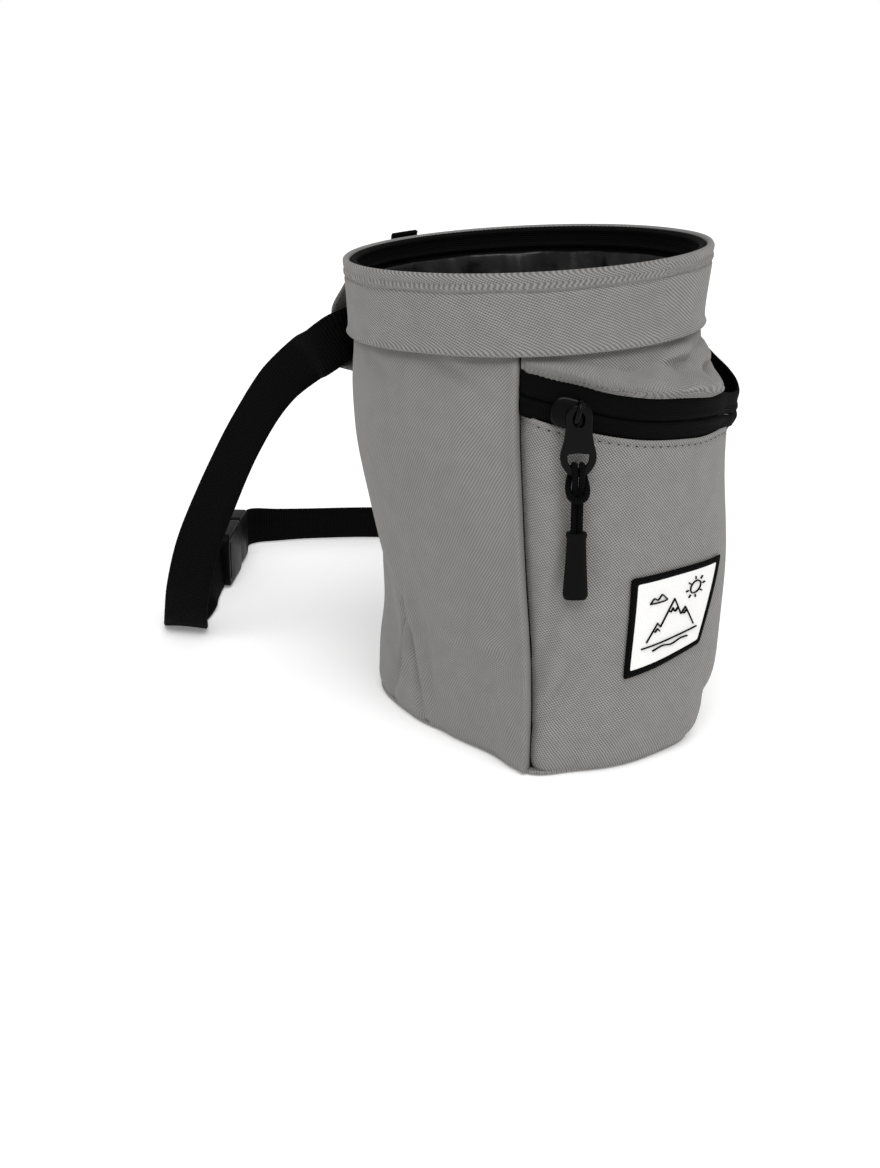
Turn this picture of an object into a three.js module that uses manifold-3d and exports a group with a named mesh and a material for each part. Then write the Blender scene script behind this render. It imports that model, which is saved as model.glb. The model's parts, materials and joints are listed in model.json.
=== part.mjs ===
// Climbing chalk bag, in millimetres. +Z is up, the pocket faces -Y and the base stands on z = 0.
import * as THREE from 'three';
import { mergeVertices } from 'three/addons/utils/BufferGeometryUtils.js';
import Module from 'manifold-3d';

const wasm = await Module();
wasm.setup();
const { Manifold, Mesh: SolidMesh } = wasm;

// Bag body
const BAG_HEIGHT = 184;
const BASE_HALF_WIDTH = 52;
const BASE_FRONT = 64;
const BASE_BACK = 74;
const MOUTH_RADIUS = 66.7;
const MOUTH_LEAN_X = -2.7;
const MOUTH_LEAN_Y = 11.8;
const RIM_RISE = 3.4;
const CLOTH = 1.6;
const BASE_THICK = 2;
const BASE_INSET = 1;
const GAP = 0.3;

// Collar, facing, lining and the gathered skirt inside the mouth
const COLLAR_TALL = 29;
const COLLAR_THICK = 2;
const LIP = 2.3;
const FACING_TALL = 20;
const LINING = 1;
const LINING_EASE = 1.6;
const SKIRT_DROP = 9;
const SKIRT_TALL = 34;
const SKIRT_DEEP = 3.2;
const SKIRT_THICK = 0.8;
const SKIRT_FOLDS = 13;

// Pocket, its seams and its zip
const SEAM_BEARING = 46;
const SEAM_LOW_BEARING = 50.3;
const SEAM_FLARE = 8;
const RIGHT_FLARE = 3;
const POCKET_BULGE = 13;
const ZIP_BELOW_COLLAR = 13.5;
const ZIP_DIP = 18.5;
const ZIP_TAPE_ABOVE = 8.6;
const ZIP_TAPE_BELOW = 6.4;
const ZIP_SPLIT = 0.4;
const TAPE_THICK = 1.3;

// Zip slider and its pull
const SLIDER_AT = 0.15;
const SLIDER_LONG = 13;
const SLIDER_TALL = 9.5;
const SLIDER_THICK = 2.8;
const SLIDER_CLEAR = 0.35;
const BRIDGE_WIDE = 2.4;
const BRIDGE_BAR = 1.6;
const BRIDGE_SPAN = 7;
const BRIDGE_HIGH = 3.8;
const TAB_WIDE = 11;
const TAB_LONG = 23;
const TAB_THICK = 1.8;
const TAB_BAR = 1.8;
const TAB_RING = 8.4;
const TAB_SLOT = 5;
const CORD_RADIUS = 0.9;
const CORD_LOOP = 3.4;
const CORD_DROP = 24;
const GRIP_LONG = 24;
const GRIP_TOP = 6.6;
const GRIP_BOTTOM = 9.2;
const GRIP_THICK = 5;
const PULL_CLEAR = 0.4;

// Patch
const PATCH_WIDE = 42;
const PATCH_TALL = 38;
const PATCH_BEARING = -1.9;
const PATCH_UP = 0.313 * BAG_HEIGHT;
const PATCH_BORDER = 3;
const PATCH_THICK = 0.9;

// Belt, its tunnel and its buckle
const BELT_WIDE = 20;
const BELT_THICK = 1.5;
const BELT_UP = BAG_HEIGHT - 32.5;
const BELT_SLACK = 1.5;
const BELT_REST = 0.1;
const BELT_SIDE = 122;
const BELT_BACK = 262;
const TUNNEL_HALF = 25;
const TUNNEL_TALL = 37;
const TUNNEL_OUT = 10;
const TUNNEL_END_OUT = 16.5;
const TUNNEL_SAG = 4.5;
const TUNNEL_WALL = 1.3;
const TUNNEL_UP = BAG_HEIGHT - 29;
const BUCKLE_WIDE = 27;
const BUCKLE_THICK = 9;
const TAB_STRIP_WIDE = 12;
const TAB_STRIP_ABOVE = 1.8;
const TAB_STRIP_DROP = 8;

// Walls of the bag
const WALL_BOTTOM = BASE_THICK + GAP;
const WALL_TOP = BAG_HEIGHT - LIP - GAP;
const COLLAR_BOTTOM = BAG_HEIGHT - COLLAR_TALL;
const SEAM_GAP = 0.5;

const rad = THREE.MathUtils.degToRad;
const mix = THREE.MathUtils.lerp;

// One row for each section. side, front, back and lean run from the base's size (0) to the mouth's (1).
const SECTIONS = [
  { up: 0, side: 0, front: 0, back: 0, lean: 0, square: 2.8 },
  { up: 0.1, side: 0.14, front: 0.7, back: 0.25, lean: 0.05, square: 2.8 },
  { up: 0.2, side: 0.24, front: 1, back: 0.6, lean: 0.14, square: 2.7 },
  { up: 0.35, side: 0.42, front: 1, back: 0.95, lean: 0.3, square: 2.6 },
  { up: 0.55, side: 0.72, front: 0.9, back: 1, lean: 0.65, square: 2.35 },
  { up: 0.7, side: 0.93, front: 0.9, back: 1, lean: 0.92, square: 2.12 },
  { up: 0.84, side: 0.91, front: 0.6, back: 1.1, lean: 1, square: 2 },
  { up: 1, side: 1.05, front: 1.4, back: 0.88, lean: 1, square: 2 },
];

// Soft dents in the cloth. deep is a share of the cloth's thickness, tall a share of the bag's height.
const DENTS = [
  { bearing: -120, up: 0.15, deep: 2.2, wide: 9, tall: 0.11, slant: -60 },
  { bearing: -137, up: 0.21, deep: 3.4, wide: 15, tall: 0.1, slant: 0 },
  { bearing: 46, up: 0.06, deep: 3.2, wide: 19, tall: 0.17, slant: 0 },
  { bearing: 28, up: 0.015, deep: 3.4, wide: 10, tall: 0.06, slant: 0 },
  { bearing: -103, up: 0.2, deep: 1.7, wide: 7, tall: 0.12, slant: 30 },
  { bearing: -75, up: 0.78, deep: 1.0, wide: 12, tall: 0.1, slant: 20 },
  { bearing: -140, up: 0.42, deep: 2.0, wide: 14, tall: 0.14, slant: 30 },
  { bearing: 120, up: 0.3, deep: 2.2, wide: 13, tall: 0.16, slant: -40 },
  { bearing: 165, up: 0.5, deep: 1.8, wide: 16, tall: 0.12, slant: 0 },
  { bearing: 80, up: 0.55, deep: 1.5, wide: 10, tall: 0.2, slant: 20 },
];

// How far the pocket stands off the body: along it from the left seam (0) to the right seam (1),
// and up it from the floor (0) to the collar's lower edge (1).
const BULGE_ALONG = [
  { along: 0, out: 0 },
  { along: 0.08, out: 0.2 },
  { along: 0.3, out: 0.55 },
  { along: 0.6, out: 0.85 },
  { along: 0.85, out: 1 },
  { along: 0.95, out: 0.7 },
  { along: 1, out: 0 },
];
const BULGE_UP = [
  { up: 0, out: 0.02 },
  { up: 0.0594, out: 0.18 },
  { up: 0.1662, out: 0.3 },
  { up: 0.4155, out: 0.4 },
  { up: 0.6529, out: 0.5 },
  { up: 0.8072, out: 0.76 },
  { up: 0.8666, out: 0.95 },
  { up: 0.9259, out: 0.7 },
  { up: 0.9615, out: 0.34 },
  { up: 0.9948, out: 0 },
  { up: 1.187, out: 0 },
];

// How far the zip hangs below its ends, as a share of ZIP_DIP.
const ZIP_LINE = [
  { along: 0, dip: 0 },
  { along: 0.12, dip: 0.19 },
  { along: 0.36, dip: 0.57 },
  { along: 0.57, dip: 0.76 },
  { along: 0.74, dip: 0.88 },
  { along: 0.88, dip: 1 },
  { along: 0.95, dip: 0.75 },
  { along: 1, dip: 0.25 },
];

// Corners of the patch, low left and on to the right: shares of half its width and of half its height.
const PATCH_CORNERS = [
  { across: -1.086, up: -1.042 },
  { across: 0.617, up: -0.742 },
  { across: 1.3, up: 0.865 },
  { across: -0.881, up: 0.926 },
];

// The belt's run outside its tunnel. side, back and up are shares of BELT_SIDE, BELT_BACK and BELT_UP.
// lean turns the belt's width from upright (0) to lying flat (90), and face turns it round the vertical.
const BELT_LEFT_RUN = [
  { side: -0.35, back: 0.342, up: 0.911, lean: 22, face: -60 },
  { side: -0.342, back: 0.381, up: 0.88, lean: 50, face: -70 },
  { side: -0.389, back: 0.429, up: 0.801, lean: 86, face: -75 },
  { side: -0.455, back: 0.474, up: 0.661, lean: 110, face: -72 },
  { side: -0.517, back: 0.517, up: 0.486, lean: 114, face: -66 },
  { side: -0.559, back: 0.558, up: 0.312, lean: 107, face: -60 },
  { side: -0.559, back: 0.595, up: 0.157, lean: 98, face: -58 },
  { side: -0.529, back: 0.627, up: 0.052, lean: 92, face: -58 },
  { side: -0.485, back: 0.659, up: 0.007, lean: 91, face: -58 },
  { side: -0.44, back: 0.69, up: 0.009, lean: 90, face: -58 },
  { side: -0.375, back: 0.712, up: 0.029, lean: 74, face: -52 },
  { side: -0.29, back: 0.735, up: 0.063, lean: 32, face: -46 },
  { side: -0.2, back: 0.765, up: 0.068, lean: 4, face: -46 },
  { side: -0.12, back: 0.795, up: 0.069, lean: 0, face: -46 },
];
const BELT_RIGHT_RUN = [
  { side: 0.2, back: 0.94, up: 0.069, lean: 0, face: -46 },
  { side: 0.26, back: 0.965, up: 0.069, lean: 0, face: -46 },
  { side: 0.3, back: 0.98, up: 0.069, lean: 0, face: -46 },
  { side: 0.345, back: 0.98, up: 0.068, lean: -6, face: 222 },
  { side: 0.42, back: 0.96, up: 0.066, lean: -16, face: 222 },
  { side: 0.54, back: 0.925, up: 0.065, lean: -22, face: 222 },
  { side: 0.77, back: 0.84, up: 0.065, lean: -22, face: 222 },
  { side: 0.91, back: 0.755, up: 0.066, lean: -16, face: 222 },
  { side: 0.98, back: 0.66, up: 0.081, lean: 0, face: 222 },
  { side: 0.97, back: 0.565, up: 0.177, lean: 24, face: 222 },
  { side: 0.87, back: 0.475, up: 0.393, lean: 50, face: 222 },
  { side: 0.66, back: 0.4, up: 0.688, lean: 46, face: 222 },
  { side: 0.42, back: 0.355, up: 0.885, lean: 24, face: 222 },
];

// How far the tunnel stands off the collar, from its lower seam (0) to its upper seam (1).
const TUNNEL_BOW = [
  { up: 0, out: 0 },
  { up: 0.04, out: 0.8 },
  { up: 0.1, out: 1 },
  { up: 0.7, out: 1 },
  { up: 0.82, out: 0.6 },
  { up: 1, out: 0 },
];

// Reads one column of a table at a place along it, on a smooth curve through its rows.
function read(table, key, at, column) {
  const last = table.length - 1;
  if (at <= table[0][key]) return table[0][column];
  if (at >= table[last][key]) return table[last][column];
  let i = 0;
  while (at > table[i + 1][key]) i += 1;
  const slope = (a, b) => (table[b][column] - table[a][column]) / (table[b][key] - table[a][key]);
  const span = table[i + 1][key] - table[i][key];
  const t = (at - table[i][key]) / span;
  const before = slope(Math.max(i - 1, 0), i + 1) * span;
  const after = slope(i, Math.min(i + 2, last)) * span;
  const [a, b] = [table[i][column], table[i + 1][column]];
  const cubic = (2 * t ** 3 - 3 * t ** 2 + 1) * a + (t ** 3 - 2 * t ** 2 + t) * before;
  return cubic + (3 * t ** 2 - 2 * t ** 3) * b + (t ** 3 - t ** 2) * after;
}

// Seam bearings in degrees from the front, right-hand side positive: the mouth's (0) to the base's (1).
const SEAMS = [
  { up: 0, low: 1 },
  { up: 0.2, low: 0.65 },
  { up: 0.41, low: 0.65 },
  { up: 0.8, low: 0.07 },
  { up: 1, low: 0 },
];
const seamRight = (z) => mix(SEAM_BEARING, SEAM_LOW_BEARING, read(SEAMS, 'up', z / BAG_HEIGHT, 'low'));
const seamLeft = (z) => -seamRight(z);

function dentDepth(bearing, up) {
  return DENTS.reduce((sum, dent) => {
    const turn = ((((bearing - dent.bearing) % 360) + 540) % 360) - 180;
    const u = turn / dent.wide;
    const v = (up - dent.up) / dent.tall;
    const angle = rad(dent.slant);
    const across = u * Math.cos(angle) + v * Math.sin(angle);
    const along = v * Math.cos(angle) - u * Math.sin(angle);
    return sum + dent.deep * CLOTH * Math.exp(-across * across - 0.35 * along * along);
  }, 0);
}

function flare(bearing, z) {
  const low = Math.max(0, 1 - z / (0.62 * BAG_HEIGHT));
  const left = Math.exp(-(((bearing - seamLeft(z)) / 11) ** 2));
  const right = Math.exp(-(((bearing - seamRight(z)) / 11) ** 2));
  return low * (SEAM_FLARE * left + RIGHT_FLARE * right);
}

// A point of the bag's outer face, at a bearing, at a height, and at a distance out from it.
function bagPoint(bearing, z, out = 0) {
  const up = Math.min(1, Math.max(0, z / BAG_HEIGHT));
  const share = (column) => read(SECTIONS, 'up', up, column);
  const wrapped = ((((bearing + 180) % 360) + 360) % 360) - 180;
  const angle = rad(wrapped);
  const side = mix(BASE_HALF_WIDTH, MOUTH_RADIUS, share('side'));
  const facesFront = Math.cos(angle) > 0;
  const depth = facesFront
    ? mix(BASE_FRONT, MOUTH_RADIUS, share('front'))
    : mix(BASE_BACK, MOUTH_RADIUS, share('back'));
  const square = share('square');
  const across = Math.abs(Math.sin(angle) / side) ** square;
  const sum = across + Math.abs(Math.cos(angle) / depth) ** square;
  const reach = sum ** (-1 / square) + flare(wrapped, z) - dentDepth(wrapped, up) + out;
  const tilt = RIM_RISE * up * up * (reach / MOUTH_RADIUS) * Math.sin(angle + rad(42));
  const lean = share('lean');
  return new THREE.Vector3(
    MOUTH_LEAN_X * lean + reach * Math.sin(angle),
    MOUTH_LEAN_Y * lean - reach * Math.cos(angle),
    z + tilt,
  );
}

// A point of the front between the seams, with the pocket's bulge.
function frontPoint(along, z, out = 0) {
  const rise = Math.max(0, read(BULGE_UP, 'up', z / COLLAR_BOTTOM, 'out'));
  const bulge = read(BULGE_ALONG, 'along', along, 'out') * rise;
  return bagPoint(mix(seamLeft(z), seamRight(z), along), z, out + POCKET_BULGE * bulge);
}

function zipHeight(along) {
  return COLLAR_BOTTOM - ZIP_BELOW_COLLAR - ZIP_DIP * read(ZIP_LINE, 'along', along, 'dip');
}

// A closed solid between two grids of points: around steps go round, and rise steps from start to end.
function shell(around, rise, closed, outer, inner) {
  const positions = [];
  const index = [];
  const columns = closed ? around : around + 1;
  const place = (face, i, j) => (face * columns + (i % columns)) * (rise + 1) + j;
  [outer, inner].forEach((surface) => {
    for (let i = 0; i < columns; i += 1) {
      for (let j = 0; j <= rise; j += 1) positions.push(...surface(i / around, j / rise).toArray());
    }
  });
  const quad = (a, b, c, d) => index.push(a, b, c, a, c, d);
  for (let i = 0; i < around; i += 1) {
    for (let j = 0; j < rise; j += 1) {
      quad(place(0, i, j), place(0, i + 1, j), place(0, i + 1, j + 1), place(0, i, j + 1));
      quad(place(1, i, j), place(1, i, j + 1), place(1, i + 1, j + 1), place(1, i + 1, j));
    }
    quad(place(0, i + 1, 0), place(0, i, 0), place(1, i, 0), place(1, i + 1, 0));
    quad(place(0, i, rise), place(0, i + 1, rise), place(1, i + 1, rise), place(1, i, rise));
  }
  for (let j = 0; j < rise && !closed; j += 1) {
    quad(place(0, 0, j), place(0, 0, j + 1), place(1, 0, j + 1), place(1, 0, j));
    quad(place(0, around, j + 1), place(0, around, j), place(1, around, j), place(1, around, j + 1));
  }
  return geometryOf(positions, index);
}

// A cloth wall of one thickness: its outer face is place(s, t, 0).
function wall(around, rise, place, thick) {
  return shell(around, rise, false, (s, t) => place(s, t, 0), (s, t) => place(s, t, -thick));
}

// A closed band whose cross-section is a loop of [out, z] points, swept all the way round the bag.
function band(steps, loop) {
  const positions = [];
  const index = [];
  for (let i = 0; i < steps; i += 1) {
    loop.forEach(([out, z]) => positions.push(...bagPoint((360 * i) / steps, z, out).toArray()));
  }
  const count = loop.length;
  for (let i = 0; i < steps; i += 1) {
    const next = (i + 1) % steps;
    for (let k = 0; k < count; k += 1) {
      const m = (k + 1) % count;
      const [a, b, c, d] = [i * count + k, next * count + k, next * count + m, i * count + m];
      index.push(a, b, c, a, c, d);
    }
  }
  return geometryOf(positions, index);
}

function geometryOf(positions, index) {
  const geometry = new THREE.BufferGeometry();
  geometry.setAttribute('position', new THREE.Float32BufferAttribute(positions, 3));
  geometry.setIndex(index);
  geometry.computeVertexNormals();
  return geometry;
}

const bag = new THREE.Group();

function add(name, geometry, color, roughness, metalness = 0) {
  const mesh = new THREE.Mesh(geometry, new THREE.MeshStandardMaterial({ color, roughness, metalness }));
  mesh.name = name;
  bag.add(mesh);
  return mesh;
}

const GREY_CLOTH = '#8e8d8f';
const BLACK_NYLON = '#17171a';
const BLACK_WEBBING = '#151517';
const BLACK_PLASTIC = '#101012';
const WHITE_CLOTH = '#f1f1ef';

function addBase() {
  const rim = [];
  for (let i = 0; i < 60; i += 1) {
    const point = bagPoint(6 * i, 0, -BASE_INSET);
    rim.push(new THREE.Vector2(point.x, point.y));
  }
  const sheet = { depth: BASE_THICK, bevelEnabled: false };
  const geometry = new THREE.ExtrudeGeometry(new THREE.Shape(rim), sheet);
  add('base_panel', geometry, GREY_CLOTH, 0.9);
}

function addSidePanel() {
  const place = (s, t, out) => {
    const z = mix(WALL_BOTTOM, WALL_TOP, t);
    return bagPoint(mix(seamRight(z) + SEAM_GAP, 360 + seamLeft(z) - SEAM_GAP, s), z, out);
  };
  add('side_back_panel', wall(42, 12, place, CLOTH), GREY_CLOTH, 0.9);
}

function addFrontPanels() {
  const upper = (s, t, out) => {
    const from = zipHeight(s) + ZIP_TAPE_ABOVE + GAP;
    const tuck = COLLAR_BOTTOM - GAP;
    const z = t < 0.7 ? mix(from, tuck, t / 0.7) : mix(tuck, WALL_TOP, (t - 0.7) / 0.3);
    return frontPoint(s, z, out);
  };
  add('upper_front_panel', wall(20, 10, upper, CLOTH), GREY_CLOTH, 0.9);
  const lower = (s, t, out) => {
    const to = zipHeight(s) - ZIP_TAPE_BELOW - GAP;
    return frontPoint(s, mix(WALL_BOTTOM, to, t), out);
  };
  add('pocket_panel', wall(20, 11, lower, CLOTH), GREY_CLOTH, 0.9);
  const tape = (s, z, out) => frontPoint(s, zipHeight(s) + z, out);
  const above = (s, t, out) => tape(s, mix(ZIP_SPLIT / 2, ZIP_TAPE_ABOVE, t), out);
  add('zip_tape_upper', wall(20, 2, above, TAPE_THICK), BLACK_WEBBING, 0.8);
  const below = (s, t, out) => tape(s, mix(-ZIP_TAPE_BELOW, -ZIP_SPLIT / 2, t), out);
  add('zip_tape_lower', wall(20, 2, below, TAPE_THICK), BLACK_WEBBING, 0.8);
}

function addCollar() {
  const inside = -CLOTH - GAP;
  const loop = [
    [GAP, COLLAR_BOTTOM],
    [GAP + COLLAR_THICK, COLLAR_BOTTOM + 0.6],
    [GAP + COLLAR_THICK, COLLAR_BOTTOM + 5],
    [GAP + COLLAR_THICK * 0.8, COLLAR_BOTTOM + COLLAR_TALL / 2],
    [GAP + COLLAR_THICK * 0.8, BAG_HEIGHT - 1.2],
    [GAP + COLLAR_THICK * 0.3, BAG_HEIGHT],
    [inside + 0.6, BAG_HEIGHT],
    [inside, BAG_HEIGHT - 0.8],
    [inside, BAG_HEIGHT - LIP],
    [GAP, BAG_HEIGHT - LIP],
    [GAP, COLLAR_BOTTOM + COLLAR_TALL / 2],
  ];
  add('rim_collar', band(60, loop), GREY_CLOTH, 0.9);
}

function addInside() {
  const face = -CLOTH - GAP;
  const facingBottom = WALL_TOP - FACING_TALL;
  const ring = (from, to, out) => (s, t) => bagPoint(360 * s, mix(from, to, t), out);
  const outerFacing = ring(facingBottom, WALL_TOP, face);
  const innerFacing = ring(facingBottom, WALL_TOP, face - LINING);
  add('rim_facing', shell(60, 1, true, outerFacing, innerFacing), BLACK_NYLON, 0.6);
  const cup = (inset, floor) => {
    const rows = [];
    for (let j = 0; j <= 9; j += 1) {
      const ease = LINING_EASE * Math.min(1, 9 - j);
      rows.push([-inset - ease, mix(floor, facingBottom - GAP, j / 9)]);
    }
    return rows;
  };
  const outside = cup(-face, WALL_BOTTOM);
  const within = cup(-face + LINING, WALL_BOTTOM + LINING);
  add('lining', closedCup(28, outside, within), BLACK_NYLON, 0.6);
  const top = WALL_TOP - SKIRT_DROP;
  const skirt = (s, t, out) => {
    const fold = Math.sin(2 * Math.PI * SKIRT_FOLDS * s) * Math.min(1, 1.6 * t) * 0.5;
    const hang = mix(0.7, SKIRT_DEEP, t ** 0.6) * (1 + 0.45 * fold);
    return bagPoint(360 * s, mix(top, top - SKIRT_TALL, t), face - LINING - hang + out);
  };
  const skirtOut = (s, t) => skirt(s, 1 - t, 0);
  const skirtIn = (s, t) => skirt(s, 1 - t, -SKIRT_THICK);
  add('closure_skirt', shell(4 * SKIRT_FOLDS, 3, true, skirtOut, skirtIn), BLACK_NYLON, 0.35);
}

// A cup with a floor: two stacks of rings, each closed by a fan at its bottom.
function closedCup(steps, outerRows, innerRows) {
  const positions = [];
  const index = [];
  const rows = [...outerRows, ...innerRows.slice().reverse()];
  rows.forEach(([out, z]) => {
    for (let i = 0; i < steps; i += 1) positions.push(...bagPoint((360 * i) / steps, z, out).toArray());
  });
  for (let j = 0; j < rows.length - 1; j += 1) {
    for (let i = 0; i < steps; i += 1) {
      const n = (i + 1) % steps;
      const [a, b] = [j * steps + i, j * steps + n];
      index.push(a, b, b + steps, a, b + steps, a + steps);
    }
  }
  const centre = (row, z) => {
    positions.push(0, 0, z);
    const middle = positions.length / 3 - 1;
    for (let i = 0; i < steps; i += 1) {
      const n = (i + 1) % steps;
      if (row === 0) index.push(middle, n, i);
      else index.push(middle, row * steps + i, row * steps + n);
    }
  };
  centre(0, outerRows[0][1]);
  centre(rows.length - 1, innerRows[0][1]);
  return geometryOf(positions, index);
}

// Patch: a black border with a white field sunk in it, laid on the pocket.
function addPatch() {
  const degree = rad(1) * MOUTH_RADIUS;
  const spread = seamRight(PATCH_UP) - seamLeft(PATCH_UP);
  const centre = { along: 0.5 + PATCH_BEARING / spread, z: PATCH_UP };
  const [lowLeft, lowRight, highRight, highLeft] = PATCH_CORNERS;
  const onPocket = (u, v, out) => {
    const [s, t] = [u / PATCH_WIDE + 0.5, v / PATCH_TALL + 0.5];
    const pulled = (key) => {
      return mix(mix(lowLeft[key], lowRight[key], s), mix(highLeft[key], highRight[key], s), t);
    };
    const across = (pulled('across') * PATCH_WIDE) / 2;
    const high = (pulled('up') * PATCH_TALL) / 2;
    return frontPoint(centre.along + across / degree / spread, centre.z + high, out);
  };
  const [w, h] = [PATCH_WIDE / 2, PATCH_TALL / 2];
  const [innerW, innerH] = [w - PATCH_BORDER, h - PATCH_BORDER];
  const around = 32;
  const edge = (s, halfW, halfH) => {
    const side = Math.floor(s * 4) % 4;
    const t = (s * 4 - Math.floor(s * 4)) * 2 - 1;
    const corner = [[t, -1], [1, t], [-t, 1], [-1, -t]][side];
    return [corner[0] * halfW, corner[1] * halfH];
  };
  const frame = (out) => (s, t) => {
    const [x, y] = edge(s, mix(w, innerW, t), mix(h, innerH, t));
    return onPocket(x, y, out);
  };
  add('patch_border', shell(around, 1, true, frame(GAP + PATCH_THICK), frame(GAP)), BLACK_WEBBING, 0.8);
  const field = (out) => (s, t) => {
    return onPocket(mix(-1, 1, s) * (innerW - GAP), mix(-1, 1, t) * (innerH - GAP), out);
  };
  add('patch_field', shell(6, 6, false, field(GAP + PATCH_THICK * 0.7), field(GAP)), WHITE_CLOTH, 0.8);
}

// Zip slider and pull. Their own axes: x along the zip to the left seam, y out of the pocket, z up.
function zipFrame() {
  const at = frontPoint(SLIDER_AT, zipHeight(SLIDER_AT), 0);
  const ahead = frontPoint(SLIDER_AT + 0.03, zipHeight(SLIDER_AT + 0.03), 0);
  const above = frontPoint(SLIDER_AT, zipHeight(SLIDER_AT) + 5, 0);
  const x = at.clone().sub(ahead).normalize();
  const y = above.clone().sub(at).cross(x).normalize();
  const z = x.clone().cross(y).normalize();
  return new THREE.Matrix4().makeBasis(x, y, z).setPosition(at);
}

function solidOf(geometry) {
  const plain = new THREE.BufferGeometry();
  const flat = geometry.index ? geometry : mergeVertices(positionsOnly(geometry), 1e-4);
  plain.setAttribute('position', flat.getAttribute('position'));
  plain.setIndex(flat.index);
  const merged = mergeVertices(plain, 1e-4);
  return new Manifold(new SolidMesh({
    numProp: 3,
    vertProperties: new Float32Array(merged.getAttribute('position').array),
    triVerts: new Uint32Array(merged.index.array),
  }));
}

function positionsOnly(geometry) {
  const plain = new THREE.BufferGeometry();
  plain.setAttribute('position', geometry.getAttribute('position'));
  if (geometry.index) plain.setIndex(geometry.index);
  return plain;
}

function geometryFrom(solid) {
  const mesh = solid.getMesh();
  return geometryOf(Array.from(mesh.vertProperties), Array.from(mesh.triVerts));
}

// A rounded plate in the x-z plane, thick along y, with optional windows.
function plate(wide, tall, thick, round, windows = []) {
  const outline = roundedRect(wide, tall, round);
  windows.forEach(({ x, z, w, h, r }) => {
    outline.holes.push(roundedRect(w, h, r, x, z));
  });
  const sheet = { depth: thick, bevelEnabled: false, curveSegments: 3 };
  const geometry = new THREE.ExtrudeGeometry(outline, sheet);
  return geometry.rotateX(Math.PI / 2).translate(0, thick / 2, 0);
}

function roundedRect(wide, tall, round, x = 0, y = 0) {
  const shape = new THREE.Shape();
  const [w, h] = [wide / 2, tall / 2];
  shape.moveTo(x - w + round, y - h);
  shape.lineTo(x + w - round, y - h);
  shape.absarc(x + w - round, y - h + round, round, -Math.PI / 2, 0, false);
  shape.lineTo(x + w, y + h - round);
  shape.absarc(x + w - round, y + h - round, round, 0, Math.PI / 2, false);
  shape.lineTo(x - w + round, y + h);
  shape.absarc(x - w + round, y + h - round, round, Math.PI / 2, Math.PI, false);
  shape.lineTo(x - w, y - h + round);
  shape.absarc(x - w + round, y - h + round, round, Math.PI, 1.5 * Math.PI, false);
  return shape;
}

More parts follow.
